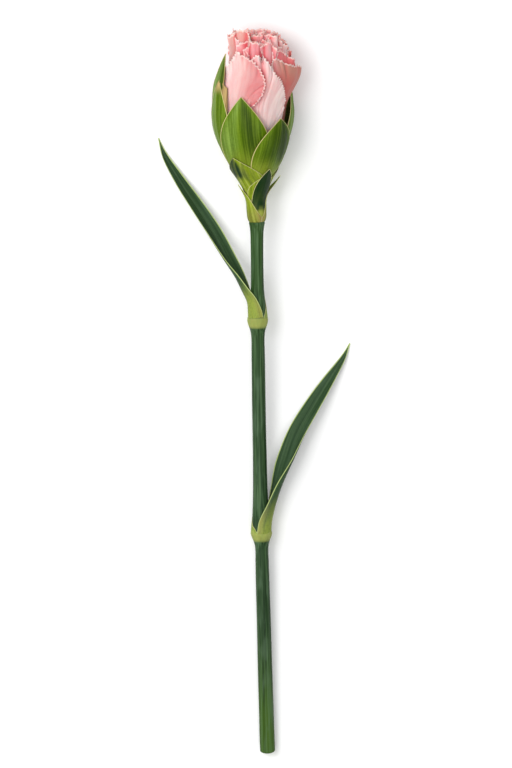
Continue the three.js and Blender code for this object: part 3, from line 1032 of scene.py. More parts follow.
@dataclass(frozen=True)
class Sepal:
    """One lobe of the calyx: it wraps the bud, narrows to a tip and tucks under its neighbour.

    The middle leans from azimuth `base` to `tip`; `under` is how deep it lies, 0 outermost,
    and `slope` how much deeper for each degree to the right.
    """

    name: str
    node: str
    base: float
    tip: float
    height: float
    half: float
    power: float = 2.2
    under: float = 0.5
    slope: float = 0.0
    wide: float = 1.0  # how much further its left side reaches than its right
    keel: float = 0.4
    shade: float = 1.0  # painted shade: how dark the band right of its keel is drawn
    painted_light: float = 0.6  # painted light: how pale the band left of its middle is drawn; below 0 that band is drawn darker, as painted shade
    wing: tuple[float, float] = (0.0, 0.0)  # how much wider its right side is below a height
    dry_tip: tuple[float, float] = (1.1, 1.2)  # papery from, to a share of the length
    # papery from and to a share across, up to a share of the length
    dry_side: tuple[float, float, float] = (1.1, 1.2, 0.0)
    thick: float = 0.4
    drop: float = 1.45
    tip_half: float = 0.7
    across: int = 54
    lengthwise: int = 72

    def grid(self) -> Slab:
        """Wraps a blade round the bud.

        Height = seat + (top - seat) * t. Spread = s * (half * (1 - t ^ power) * widening +
        tip half width * t). Radius = sepal envelope less (under + slope * spread) * drop,
        with a keel raised along the middle near the tip, and faint creases lengthwise.

        Returns:
            The slab with its marks.
        """
        s, t = np.linspace(-1, 1, self.across), np.linspace(0, 1, self.lengthwise)
        s = mix(s, np.sin(s * math.pi / 2), 0.5)
        ss, tt = np.meshgrid(s, t, indexing="ij")
        h = BUD.seat + (self.height - BUD.seat) * tt
        widen = smooth(h, 13, 20.5)
        middle = self.tip + (self.base - self.tip) * (1 - tt) ** 3
        half = self.half * (1 - tt**self.power) * (0.5 + 0.5 * widen) + self.tip_half * tt
        wing, wing_top = self.wing
        winged = half + wing * (1 - smooth(h, wing_top - 0.7, wing_top + 0.7))
        half = np.where(ss < 0, half * self.wide, winged)
        spread = ss * half
        depth = (self.under + self.slope * spread) * self.drop * (0.3 + 0.7 * widen)
        thick = self.thick * (0.75 + 0.25 * widen)
        radius = BUD.sepal_radius(h) - depth - thick * 0.5
        width = np.radians(half) * radius
        ridge = self.keel * np.exp(-np.abs(ss) * 2.6) * smooth(tt, 0.3, 0.8)
        ridge = ridge * (1 - smooth(tt, 0.96, 1.0))
        crease = 0.06 * np.sin(ss * 17 + 0.7) * (1 - tt**3) * widen
        points = BUD.place(radius + ridge + crease, middle + spread, h)
        side_start, side_end, side_top = self.dry_side
        dry_end = 0.42 * smooth(tt, side_top, side_top + 0.08)
        dry = np.maximum(smooth(tt, *self.dry_tip), smooth(ss - dry_end, side_start, side_end))
        # Painted shade on a band right of the keel, painted light on a band left of the middle.
        painted_shade_band = np.exp(-(((ss - 0.3) / 0.42) ** 2)) * smooth(tt, 0.15, 0.5)
        painted_shade_band = painted_shade_band * mix(1.0, 0.7, smooth(tt, 0.85, 1.0))
        painted_light_band = self.painted_light * np.exp(-(((ss + 0.45) / 0.32) ** 2)) * smooth(tt, 0.2, 0.5)
        rib = np.exp(-((ss * width / 0.2) ** 2)) * smooth(tt, 0.5, 0.9)
        length = (self.height - BUD.seat) * tt
        return Slab(points, thick * (1 - 0.7 * np.abs(ss) ** 3) * mix(1.0, 0.6, tt**3), {
            "grain": np.stack([ss * width, length, 0 * ss + self.base], -1),
            "up": tt,
            "edge": (1 - np.abs(ss)) * width,
            "dry": dry,
            "deep": self.shade * painted_shade_band - painted_light_band,
            "rib": 0.6 * rib,
        })

    def build(self, material: bpy.types.Material) -> None:
        """Makes the piece with the sepal finish."""
        enlist(self.grid().build(self.name, material), Slot.SEPAL, self.node)


@dataclass(frozen=True)
class Bract:
    """One scale of the four crossed pairs that clasp the foot of the calyx."""

    name: str
    node: str
    layer: int
    foot: float
    notch: float
    height: float
    base: float
    tip: float
    half: float
    power: float
    flare: float = 0.0
    left: float = 1.0  # the left side's share of the half width above the notch
    # dark from and to a share of the length, fading from and to a share across
    dark: tuple[float, float, float, float] = (0.55, 0.95, -1.0, 0.0)
    shade: float = 1.0  # how dark the dark part is
    tip_half: float = 1.2
    keel: float = 0.16
    flare_from: float = 8.5
    thick: float = 0.28
    across: int = 46
    lengthwise: int = 54

    def grid(self) -> Slab:
        """Wraps a scale round the foot of the bud.

        Below the notch the margins stand `half` degrees either side; above it, with f the
        share of the way to the tip, the spread is s * (half * (1 - f ^ power) + tip half width
        * f) and the middle moves from `base` to `tip`. A flare lifts the tip off the bud.

        Returns:
            The slab with its marks.
        """
        s, t = np.linspace(-1, 1, self.across), np.linspace(0, 1, self.lengthwise)
        ss, tt = np.meshgrid(s, t, indexing="ij")
        h = self.foot + (self.height - self.foot) * tt
        free = np.clip((h - self.notch) / (self.height - self.notch), 0, 1)
        half = self.half * (1 - free**self.power) + self.tip_half * free
        spread = ss * half * np.where(ss < 0, mix(1.0, self.left, smooth(free, 0, 0.5)), 1.0)
        out = self.flare * smooth(h, self.flare_from, self.height)
        ridge = self.keel * np.exp(-np.abs(ss) * 4) * smooth(free, 0.3, 0.8)
        ridge = ridge * (1 - smooth(free, 0.95, 1))
        radius = BUD.bract_radius(self.layer, h) + out + ridge - self.thick * 0.5
        points = BUD.place(radius, mix(self.base, self.tip, free) + spread, h)
        width = np.radians(half) * radius
        start, end, left, right = self.dark
        fading = 1 - smooth(ss, left, right) if right > left else 1.0
        deep = self.shade * smooth(tt, start, end) * fading
        return Slab(points, self.thick * (1 - 0.65 * np.abs(ss) ** 3) * mix(1.0, 0.6, tt**3), {
            "grain": np.stack([ss * width, h, 0 * ss + self.base], -1),
            "up": smooth(h, 0.5, 14),
            "edge": (1 - np.abs(ss)) * width,
            "dry": 0.45 * (1 - smooth(h, 1.5, 5)) * smooth(np.abs(ss), 0.55, 1.0),
            "rib": 0 * ss,
            "deep": deep + 0 * ss,
        })

    def build(self, material: bpy.types.Material) -> None:
        """Makes the piece with its finish."""
        enlist(self.grid().build(self.name, material), Slot.BRACT, self.node)


@dataclass(frozen=True)
class Calyx:
    """Six sepals and the eight scales at their foot."""

    sepals: tuple[Sepal, ...] = (
        Sepal(
            "calyx_front_left", "sepal_front_left", base=-17, tip=-16, height=44.9, half=56,
            slope=0.0096, keel=0.5, shade=0.85,
        ),
        Sepal(
            "calyx_front_right", "sepal_front_right", base=43, tip=42.5, height=36.7, half=54,
            under=0, keel=0.3, shade=1.6, painted_light=-0.5,
        ),
        Sepal(
            "calyx_right", "sepal_right", base=103, tip=98, height=45.2, half=66,
            under=0.4, slope=-0.0105, keel=0.8, wide=0.73,
        ),
        Sepal("calyx_back", "sepal_back", base=168, tip=168, height=44, half=48, under=1.22),
        Sepal(
            "calyx_left_tall", "sepal_left_tall", base=-135, tip=-60, height=59.2, half=21,
            power=2.4, under=0.74, slope=0.0117, wide=3, wing=(8, 48.3), dry_side=(0.3, 0.55, 0.72),
        ),
        Sepal(
            "calyx_left", "sepal_left", base=-88, tip=-62, height=50.8, half=36,
            slope=0.0119, wide=1.25, shade=0.2, dry_tip=(0.84, 0.96),
        ),
    )
    bracts: tuple[Bract, ...] = (
        Bract("scale_outer_left", "bract_outer_left", 0, 0, 1.8, 13.3, -57, -82, 89.5, 0.8),
        Bract("scale_outer_right", "bract_outer_right", 0, 0, 1.8, 15.5, 123, 97, 89.5, 0.62, flare=1.5),
        Bract(
            "scale_second_front", "bract_second_front", 1, 1.6, 5.5, 18.9, 33, 33, 70, 1.05,
            dark=(0.08, 0.3, -1, -1), shade=2.4,
        ),
        Bract("scale_second_back", "bract_second_back", 1, 4, 6, 17, -147, -147, 68, 1.2),
        Bract(
            "scale_third_front", "bract_third_front", 2, 7.6, 9, 16, 22, 22, 78, 1.3,
            dark=(1.1, 1.2, -1, -1),
        ),
        Bract("scale_third_back", "bract_third_back", 2, 7.6, 9, 16.5, -158, -158, 78, 1.3),
        Bract(
            "scale_inner_left", "bract_inner_left", 3, 9.4, 16, 23.4, -57, -41, 84, 1.0, left=0.45,
            dark=(0.35, 0.6, 0.0, 0.7), shade=1.6,
        ),
        Bract("scale_inner_right", "bract_inner_right", 3, 9.4, 13, 19.5, 123, 118, 84, 1.2),
    )

    def build(self) -> None:
        """Makes the fourteen pieces."""
        sepal_skin = GreenFinish(
            "sepal_skin", foot=tint(126, 140, 40), body=tint(84, 112, 0), dark=tint(34, 56, 0),
            streak=tint(126, 150, 46), margin=tint(208, 192, 134), bloom=tint(134, 164, 82),
            foot_end=(0.12, 0.5), streak_rate=(1.7, 0.03), streak_share=0.42, dark_share=0.34,
            bloom_share=0.2, margin_width=(0.14, 0.34), vein_depth=0.07, roughness=0.46,
        ).material()
        scale_skin = GreenFinish(
            "scale_skin", foot=tint(128, 132, 48), body=tint(126, 144, 22), dark=tint(20, 48, 16),
            streak=tint(168, 178, 84), margin=tint(206, 200, 140), bloom=tint(150, 160, 74),
            foot_end=(0.0, 0.4), streak_rate=(1.1, 0.05), papery=tint(176, 142, 96),
            vein_depth=0.05, roughness=0.42,
        ).material()
        for sepal in self.sepals:
            sepal.build(sepal_skin)
        for bract in self.bracts:
            bract.build(scale_skin)


# ---------------------------------------------------------------- petals


@dataclass(frozen=True)
class Petal:
    """A petal: a narrow claw that fans out to a toothed and ruffled limb.

    The margin is a list of [azimuth, height] from the limb's left base round to its right
    base. The limb stands at `share` of the petals' envelope, further out by `slope` for each
    degree to the right, and by `flare` at its top.
    """

    name: str
    nodes: tuple[str, ...]
    turn: float
    margin: tuple[Row, ...]
    share: float = 1.0
    foot: float = 3.3
    slope: float = 0.01
    left_slope: float = 0.01
    most_slope: float = 1.5  # the slopes add no more than this
    flare: tuple[float, float, float] = (0.0, 44.0, 60.0)  # amount, from height, to height
    flare_side: tuple[float, float] = (-500.0, -400.0)  # azimuths from, to which the flare grows
    curl: float = 0.25  # how far the margin itself turns out
    curl_reach: float = 2.2  # and how far down the limb that fades
    shows: tuple[float, float] = (35.0, 40.0)  # the margin is ruffled above a height between these
    valleys: Table = ()  # azimuth, half width, depth and reach down of each fold inwards
    ruffle: tuple[float, float, float] = (0.3, 0.18, 0.08)  # long, middle and short waves
    teeth: tuple[float, float] = (0.95, 0.62)  # spacing and depth
    fan: float = 0.42  # how far the lines bend to meet the margin
    crowding: float = 2.1  # how strongly points crowd towards the margin
    claw_half: float = 12.0  # half width of the claw in degrees
    round_radius: float = 11.0  # radius at which the limb is developed into a plane
    # pink everywhere, pink added to the right, and the azimuths from and to which it grows
    blush: tuple[float, float, float, float] = (0.2, 0.0, 0.0, 1.0)
    shade: float = 0.9  # painted shade: how deep the pink is drawn beside the margin of a petal that lies over this one
    painted_shade_reach: float = 1.1
    tan_shade: tuple[float, float, float] = (0.0, 0.0, 1.0)  # painted shade as a tan tint: amount, from and to azimuth
    seed: int = 1
    across: int = 270
    lengthwise: int = 28
    thick: float = 0.22
    envelope: tuple[Row, ...] = (
        (14, 3.35), (18, 4.2), (22, 6.1), (28, 8.7), (34, 10.5), (40, 11.4), (49, 12.2),
        (57, 11.3), (68, 10.5),
    )
    wave_lengths: tuple[float, float, float] = (6.4, 2.9, 1.5)
    wave_reach: tuple[float, float, float] = (6.0, 2.6, 1.0)
    wave_lean: tuple[float, float, float] = (0.5, 0.75, 0.4)
    fine_points: int = 1200  # on the margin, before they are spread out
    hidden_share: float = 0.16  # of the points that a hidden stretch of margin gets
    least_radius: float = 0.6

    def per_degree(self) -> float:
        """Millimetres round the limb for one degree."""
        return math.radians(1) * self.round_radius * self.share

    def outline(self) -> tuple[Array, Array, Array]:
        """Follows the margin, with points crowded where it stands clear of the calyx.

        Returns:
            Azimuths, heights and arc lengths in millimetres at each point across.
        """
        table = tuple((float(i), *row) for i, row in enumerate(self.margin))
        fine = np.linspace(0, len(table) - 1, self.fine_points)
        azimuth, height = along(table, fine, 1), along(table, fine, 2)
        step = np.hypot(np.diff(azimuth) * self.per_degree(), np.diff(height))
        spend = step * mix(self.hidden_share, 1.0, smooth(height[1:], 36, 41))
        arc, spent = (np.concatenate([[0], np.cumsum(v)]) for v in (step, spend))
        even = np.interp(np.linspace(0, spent[-1], self.across), spent, arc)
        return np.interp(even, arc, azimuth), np.interp(even, arc, height), even

    def teeth_at(self, arc: Array, rng: np.random.Generator) -> Array:
        """Uneven teeth: straight runs between random notches and random peaks."""
        spacing, depth = self.teeth
        count = int(arc[-1] / spacing * 2.6) + 6
        knots = np.cumsum(rng.uniform(0.3, 0.7, count) * spacing)
        peaks, notches = rng.uniform(0.1, 0.8, count), rng.uniform(-0.8, -0.3, count)
        heights = np.where(np.arange(count) % 2, peaks, notches)
        return np.interp(arc, knots - spacing, heights * depth)

    def waves(self, arc: Array, depth: Array, rng: np.random.Generator) -> tuple[Array, Array]:
        """Sums three trains of waves that run round the margin and fade below it.

        Each is amount * exp(-depth / reach) * sin(2 pi * arc / length + phase + wander), where
        the wander and the strength are slow waves of their own that keep the folds uneven.

        Args:
            arc: Millimetres round the margin.
            depth: Millimetres below the margin.
            rng: The petal's own random numbers.

        Returns:
            Shifts outwards and along the margin, in millimetres.
        """
        out, sway = np.zeros_like(depth), np.zeros_like(depth)
        trains = zip(self.ruffle, self.wave_lengths, self.wave_reach, self.wave_lean)
        for amount, length, reach, lean in trains:
            count = 2 * math.pi / length
            wander = rng.uniform(0.7, 1.3) * np.sin(arc * count * 0.31 + rng.uniform(0, 6.3))
            phase = arc * count + rng.uniform(0, 6.3) + wander + depth * rng.uniform(-0.15, 0.15)
            uneven = 0.8 + 0.4 * np.sin(arc * count * 0.19 + rng.uniform(0, 6.3))
            strength = amount * np.exp(-depth / reach) * uneven
            out += strength * np.sin(phase)
            sway += lean * strength * np.cos(phase)
        return out, sway

    def evened(self, rows: Array, width: int) -> Array:
        """Rows of x and y, averaged under a cosine bell that is `width` rows wide."""
        bell = np.hanning(width | 1)
        bell = bell / bell.sum()
        padded = np.pad(rows, ((len(bell) // 2, len(bell) // 2), (0, 0)), mode="edge")
        return np.stack([np.convolve(padded[:, i], bell, "valid") for i in (0, 1)], -1)

    def lines(self, flat: Array) -> tuple[Array, Array, Array]:
        """Draws the lines that fan from the claw and meet the margin square on.

        Each is the curve (1 - t)^2 * claw + 2 t (1 - t) * control + t^2 * margin in the
        developed plane, where the control point lies inside the margin, along its smoothed
        normal, by a share of the line's length, but never past the claw; the control points
        are evened out, so that no lines cross. Points crowd towards the margin.

        Args:
            flat: The margin's points in the developed plane, in millimetres.

        Returns:
            Azimuths and heights of the grid, and the share t of the way to the margin.
        """
        u = np.linspace(0, 1, self.lengthwise)
        t = (1 - (1 - u) ** self.crowding)[None, :, None]
        s = np.linspace(-1, 1, self.across)
        foot = (self.turn + self.claw_half * s) * self.per_degree()
        claw = np.stack([foot, 0 * s + BUD.seat + 0.2], -1)
        ahead = unit(self.evened(unit(np.gradient(flat, axis=0)), self.across // 5))
        reach = np.linalg.norm(flat - claw, axis=-1, keepdims=True) * self.fan
        control = flat + np.stack([ahead[:, 1], -ahead[:, 0]], -1) * reach
        inner = mix(claw[:, 0], flat[:, 0], 0.15)
        bounds = np.sort([inner, flat[:, 0]], axis=0)
        control[:, 0] = np.clip(control[:, 0], *bounds)
        control = self.evened(control, self.across // 2)
        grid = (
            claw[:, None] * (1 - t) ** 2 + control[:, None] * (2 * t * (1 - t)) + flat[:, None] * t**2
        )
        return grid[..., 0] / self.per_degree(), grid[..., 1], t[..., 0]

    def grid(self, outside: list[Array]) -> Slab:
        """Fans the limb out from its claw.

        Teeth push the margin along its own normal in the developed plane of azimuth and
        height. The radius at height h and azimuth a is the envelope times the share, plus
        slope * (a - turn), plus the flare and the margin's curl, less each valley's depth *
        exp(-((a - centre) / width) ^ 2), plus the waves, which also shift the surface along
        the margin, a quarter turn out of step, so that folds lean over.

        Args:
            outside: Margins, as [azimuth, height] points, of the petals that lie over this one.

        Returns:
            The slab with its marks.
        """
        rng = np.random.default_rng(self.seed)
        azimuth, height, arc = self.outline()
        scale = self.per_degree()
        flat = np.stack([azimuth * scale, height], -1)
        a, h, t = self.lines(flat)
        depth = np.hypot(
            (a * scale)[..., None] - flat[::2, 0], h[..., None] - flat[::2, 1],
        ).min(-1) * (1 - t**60)
        near = np.full_like(a, 9.0)
        for other in outside:
            aside = (a[..., None] - other[::3, 0] + 180) % 360 - 180
            near = np.minimum(near, np.hypot(aside * scale, h[..., None] - other[::3, 1]).min(-1))
        ahead = unit(np.gradient(flat, axis=0))
        showing = smooth(height, *self.shows)
        tooth = (self.teeth_at(arc, rng) * showing)[:, None]
        tooth = tooth * np.exp(-depth / 0.8) * smooth(t, 0.5, 0.9)
        a = a - tooth * ahead[:, 1:] / scale
        h = h + tooth * ahead[:, :1]
        limb = along(self.envelope, h) * self.share
        aside = a - self.turn
        radius = mix(self.foot, limb, smooth(h, 15, 22)) + np.minimum(
            np.where(aside > 0, self.slope, self.left_slope) * aside, self.most_slope,
        )
        amount, low, high = self.flare
        radius = radius + amount * smooth(h, low, high) * smooth(a, *self.flare_side)
        radius = radius + self.curl * np.exp(-depth / self.curl_reach) * showing[:, None]
        hollow = sum(
            (dent * np.exp(-(((a - centre) / width) ** 2)) * np.exp(-depth / reach)
             for centre, width, dent, reach in self.valleys),
            np.zeros_like(a),
        )
        out, sway = self.waves(arc[:, None] + 0 * depth, depth, rng)
        out, sway = out * showing[:, None], sway * showing[:, None]
        radius = radius - hollow + out
        a = a - sway * ahead[:, :1] / scale
        h = h - sway * ahead[:, 1:]
        points = BUD.place(np.maximum(radius, self.least_radius), a, h, 1.0)
        strong = 0.7 * sum(self.ruffle) + 0.08
        # Painted shade: deep pink in the valleys and near the margins of petals that lie over this one,
        # more in the ruffles' troughs, and faintly over the whole inner face.
        sunk = np.clip(hollow / 1.2 - 0.1, 0, 1) + self.shade * np.exp(-near / self.painted_shade_reach)
        outer_painted_shade = np.clip(-out / strong, 0, 1) * 0.6 + sunk
        inner_painted_shade = np.clip(out / strong, 0, 1) * 0.5 + 0.15
        everywhere, further, start, end = self.blush
        blush = everywhere + further * smooth(a, start, end) * smooth(h, 30, 46)
        # Painted shade: a tan tint that grows between two azimuths.
        tan_shade, tan_shade_from, tan_shade_to = self.tan_shade
        grain = np.stack([(a - self.turn) * scale, h, 0 * a + self.seed * 3.7], -1)
        thick = self.thick * mix(1.0, 0.5, np.exp(-depth / 0.7)) + 0 * a
        return Slab(points, thick, {
            "grain": grain,
            "up": t + 0 * a,
            "edge": depth + 0 * a,
            "deep": np.clip(np.stack([outer_painted_shade, inner_painted_shade]), 0, 1),
            "blush": blush,
            "tan_shade": tan_shade * smooth(a, tan_shade_from, tan_shade_to),
        })

    def build(self, material: bpy.types.Material, outside: list[Array]) -> None:
        """Makes the piece with the petal finish, under the petals whose margins are given."""
        enlist(self.grid(outside).build(self.name, material), Slot.PETAL, *self.nodes)


@dataclass(frozen=True)
class Ring:
    """One ring of crowded petals, and the CAD petals that its first few stand for."""

    share: float  # of the petals' envelope
    count: int
    first: float  # azimuth of its first petal
    step: float  # degrees from one petal to the next
    half: float  # half width of a petal in degrees
    cad_ring: int = 0
    cad_first: int = 1
    cad_count: int = 0
    lower: float = 0.0  # how much lower than the dome it ends

    def stands_for(self, i: int) -> tuple[str, ...]:
        """The CAD node that petal i stands for, if there is one."""
        return (f"petal_{self.cad_ring}_{self.cad_first + i}",) if i < self.cad_count else ()

    def foot(self) -> float:
        """The radius on which the claws of its petals stand."""
        return 3.3 if self.share > 0.8 else 2.65 if self.share > 0.55 else 2.0


@dataclass(frozen=True)
class Corolla:
    """All the petals: those that show from outside, and the crowded ruffles among them."""

    outer: tuple[Petal, ...] = (
        Petal(
            "petal_front_left", ("petal_1_1",), turn=-40,
            margin=(
                (-62, 22), (-78, 31), (-92, 41), (-95, 47), (-92, 51.2), (-86, 53.2), (-78, 54.1),
                (-69, 54.6), (-61, 55.1), (-55, 56.1), (-49, 57.8), (-43, 59.8), (-38, 60.5),
                (-34.5, 59.7), (-31, 58.9), (-23, 58.8), (-18, 58), (-14, 57.3), (-9, 56.9),
                (-5, 56), (-1, 54.9), (3, 53.9), (6.5, 52.2), (9.5, 50.4), (11.6, 48.6),
                (12.1, 47), (11.4, 45.4), (9, 43.8), (4.4, 42), (-2, 40.5), (-9, 36), (-20, 28),
                (-26, 21),
            ),
            left_slope=-0.06, most_slope=0.9, ruffle=(0.2, 0.14, 0.05),
            teeth=(1.2, 0.7), valleys=((-30, 3, 0.8, 3), (-12, 2.5, 0.5, 3), (-3, 2.5, 0.4, 2.5)),
            blush=(0.22, 0.74, -34, 2), tan_shade=(0.3, -60, -4), seed=11,
        ),
        Petal(
            "petal_front", ("petal_1_2",), turn=14,
            margin=(
                (-14, 20), (-28, 30), (-34, 42), (-32, 50), (-22, 55.5), (-10, 58.2), (-4, 59),
                (1, 58.8), (5, 57), (8.6, 58.2), (12, 57.5), (16, 56.6), (19, 55.8), (22, 54.6),
                (26, 52.9), (31, 51.4), (36, 50.6), (41, 49.2), (48, 47), (56, 44.8), (64, 42.5),
                (66, 40), (60, 34), (50, 28), (40, 20),
            ),
            share=0.965, slope=0.016, curl=0.2, ruffle=(0.14, 0.1, 0.04),
            valleys=((5.5, 3, 0.8, 4),), blush=(0.16, -0.08, 24, 50), seed=12,
        ),
        Petal(
            "petal_front_right", ("petal_1_3",), turn=66,
            margin=(
                (50, 20), (40, 28), (32, 36), (26, 44), (22, 50), (24, 55), (30, 57.2),
                (37.5, 57.2), (44.5, 56.4), (52, 55.5), (60, 54.9), (70, 54.0), (80, 54.0),
                (90, 53.4), (100, 51.6), (108, 48), (112, 42), (106, 34), (98, 27), (90, 20),
            ),
            share=0.92, slope=0.03, flare=(2.25, 36, 55), flare_side=(38, 82),
            ruffle=(0.35, 0.25, 0.06), blush=(0.45, 0.3, 20, 60), tan_shade=(0.84, 6, 56), shade=0.8,
            seed=13,
        ),
        Petal(
            "petal_back", ("petal_1_4",), turn=160,
            margin=(
                (128, 20), (116, 30), (110, 40), (108, 50), (112, 56), (124, 59), (138, 60.5),
                (152, 61), (166, 61.2), (180, 61.3), (194, 61), (204, 58), (210, 50), (208, 40),
                (200, 30), (190, 20),
            ),
            share=0.98, left_slope=-0.02, ruffle=(0.5, 0.25, 0.1), blush=(0.25, 0.3, 170, 210),
            seed=14,
        ),
        Petal(
            "petal_second_left", ("petal_2_1", "petal_2_5"), turn=-18,
            margin=(
                (-40, 20), (-52, 32), (-60, 44), (-60, 52), (-56, 57.4), (-51, 60), (-46, 61.6),
                (-40, 62.7), (-33, 63.3), (-24, 63.6), (-15, 63.9), (-9, 63.5), (-2, 63.2),
                (3, 62.6), (7, 61), (9.5, 58), (11, 54), (10, 46), (5, 34), (-2, 22),
            ),
            share=0.9, curl=0.7, ruffle=(0.3, 0.42, 0.14), shows=(55, 58.5),
            valleys=((-24, 8, 2.3, 14), (9, 6.5, 2.2, 14)), blush=(0.5, 0.2, -40, -20), shade=0.7,
            seed=16,
        ),
        Petal(
            "petal_second_right", ("petal_3_1",), turn=24,
            margin=(
                (12, 20), (0, 32), (-6, 44), (-6, 54), (-1, 60.0), (5, 61.6), (14, 62.4),
                (20, 63.2), (26, 63.2), (31, 62.2), (35, 60.9), (38.5, 59.3), (40.5, 57.3),
                (40.5, 54.5), (38, 49), (34, 41), (31, 32), (28, 20),
            ),
            share=0.87, slope=0.003, curl=0.6, ruffle=(0.3, 0.4, 0.14), shows=(56, 59.5),
            valleys=((9, 6, 1.8, 12), (31, 4.5, 0.8, 8)), blush=(0.45, 0.2, -10, 20), shade=0.7,
            seed=17,
        ),
        Petal(
            "petal_tall_left", ("petal_1_5",), turn=-84,
            margin=(
                (-112, 20), (-134, 32), (-146, 44), (-148, 54), (-142, 60), (-132, 63.6),
                (-122, 64.8), (-112, 64.6), (-102, 65.2), (-92, 64.6), (-82, 65.0), (-72, 64.9),
                (-64, 65.6), (-58, 66.8), (-52, 67.5), (-46, 67.2), (-40, 67.7), (-33, 67.2),
                (-26, 66.9), (-20, 65), (-17, 61), (-20, 54), (-30, 42), (-44, 30), (-58, 20),
            ),
            share=0.89, slope=-0.03, left_slope=-0.012, flare=(0.72, 60, 65), curl=0.2,
            ruffle=(0.3, 0.2, 0.06), shows=(52, 58), valleys=((-56, 7, 0.9, 20), (-30, 5, 0.7, 14)),
            blush=(0.3, 0.05, -90, -60), tan_shade=(0.52, -110, -60), shade=0.3, seed=15,
        ),
        Petal(
            "petal_behind_right", ("petal_2_2",), turn=62,
            margin=(
                (42, 20), (27, 34), (24, 48), (28, 56), (34, 59.3), (39, 59.9), (46, 60),
                (56, 58.9), (62, 57.6), (70, 56.6), (83, 55.4), (95, 54.0), (104, 49), (106, 40),
                (98, 28), (84, 20),
            ),
            share=0.86, flare=(2.2, 42, 58), flare_side=(30, 75), ruffle=(0.4, 0.35, 0.08),
            shows=(53, 56), blush=(0.8, 0.25, 20, 50), tan_shade=(0.4, 20, 60), shade=0.7, seed=18,
        ),
        Petal(
            "petal_upper_right", ("petal_3_2",), turn=60,
            margin=(
                (42, 20), (26, 34), (22, 48), (22, 58), (28, 63.6), (36, 65), (43, 65),
                (53.7, 64.7), (64, 63.1), (76, 61.2), (90, 59.9), (100, 56), (104, 46), (96, 32),
                (80, 20),
            ),
            share=0.745, flare=(0.6, 46, 63), flare_side=(20, 70), ruffle=(0.5, 0.45, 0.1),
            shows=(54, 58), valleys=((38, 5, 1.4, 9), (58, 6, 1.5, 9)), blush=(0.2, 0.12, 20, 50),
            shade=0.3, seed=19,
        ),
    )
    rings: tuple[Ring, ...] = (
        Ring(share=0.86, count=3, first=112, step=50, half=44, cad_ring=2, cad_first=3, cad_count=2),
        Ring(share=0.76, count=5, first=118, step=60, half=42, cad_ring=3, cad_first=3, cad_count=4),
        Ring(share=0.70, count=6, first=10, step=60, half=40, cad_ring=4, cad_count=6, lower=1.1),
        Ring(share=0.60, count=6, first=-14, step=60, half=46),
        Ring(share=0.50, count=5, first=30, step=72, half=54, cad_ring=5, cad_count=4, lower=1.2),
        Ring(share=0.40, count=5, first=0, step=72, half=60),
        Ring(share=0.30, count=4, first=40, step=90, half=74, cad_ring=6, cad_count=4, lower=0.9),
        Ring(share=0.19, count=3, first=10, step=120, half=95, lower=0.2),
    )
    # a crowded petal's margin: share of the half width, and how far it falls below the dome
    spread: tuple[Row, ...] = (
        (-0.35, 46), (-0.75, 32), (-0.98, 19), (-1.0, 9), (-0.85, 3.0), (-0.55, 0.8), (-0.25, 0),
        (0.05, 0), (0.35, 0), (0.6, 0.5), (0.85, 3.0), (1.0, 9), (0.98, 19), (0.75, 32), (0.35, 46),
    )
    top: float = 66.4  # of the dome
    dome_radius: float = 11.2  # of a petal with a share of 1, where the dome is read
    seed: int = 7
    outer_clear: float = 38.0  # the outer petals' margins show above this height
    inner_clear: float = 50.0  # and the crowded ones' above this

    def dome(self, x: Array, z: Array) -> Array:
        """The height of the petals' tops over the leaning axis, lower to the right and front."""
        return (
            self.top - 0.1 * np.maximum(x - 1.5, 0) ** 2 - 0.06 * np.maximum(z, 0) ** 2
            - 0.045 * np.maximum(-z - 2, 0) ** 2
        )

    def inner(self) -> list[Petal]:
        """Works out the crowded petals, ring by ring.

        Each petal's margin follows the dome at its own azimuths and radius, less a little
        that is random, and falls away to both sides.

        Returns:
            The petals, outermost ring first.
        """
        rng = np.random.default_rng(self.seed)
        reach, fall = np.array(self.spread).T
        made = []
        for number, ring in enumerate(self.rings, 3):
            for i in range(ring.count):
                turn = ring.first + ring.step * i
                azimuth = turn + ring.half * rng.uniform(0.92, 1.08) * reach
                radius, angle = self.dome_radius * ring.share, np.radians(azimuth)
                x, z = radius * np.sin(angle), radius * np.cos(angle)
                top = self.dome(x, z) - ring.lower
                top = top + rng.uniform(-0.8, 0.4) + rng.uniform(-0.4, 0.4, len(reach))
                right = float(np.clip(np.sin(np.radians(turn)), 0, 1))
                made.append(Petal(
                    f"petal_ring{number}_{i + 1}", ring.stands_for(i), float(turn),
                    tuple((float(p), float(q)) for p, q in zip(azimuth, top - fall)),
                    share=ring.share, foot=ring.foot(), slope=0.008, flare=(0.4 * right, 46, 64),
                    curl=0.5, ruffle=(0.7, 0.55, 0.1), teeth=(1.1, 0.75), shows=(52, 57),
                    blush=(float(rng.uniform(0.25, 0.6)), 0.0, 0.0, 1.0), shade=0.5,
                    across=140, lengthwise=18, seed=100 + len(made),
                ))
        return made

    def build(self) -> None:
        """Makes every petal."""
        skin = PetalFinish("petal_skin").material()
        ruffle_skin = PetalFinish(
            "ruffle_skin", pale=tint(255, 208, 204), pink=tint(242, 136, 142),
            fold_shade=tint(216, 58, 80), fold_shade_share=0.8,
        ).material()
        crowds = (
            (self.outer, skin, self.outer_clear), (self.inner(), ruffle_skin, self.inner_clear),
        )
        margins: list[Array] = []
        for petals, material, clear in crowds:
            for petal in petals:
                petal.build(material, margins)
                azimuth, height, _ = petal.outline()
                margins.append(np.stack([azimuth, height], -1)[height > clear])


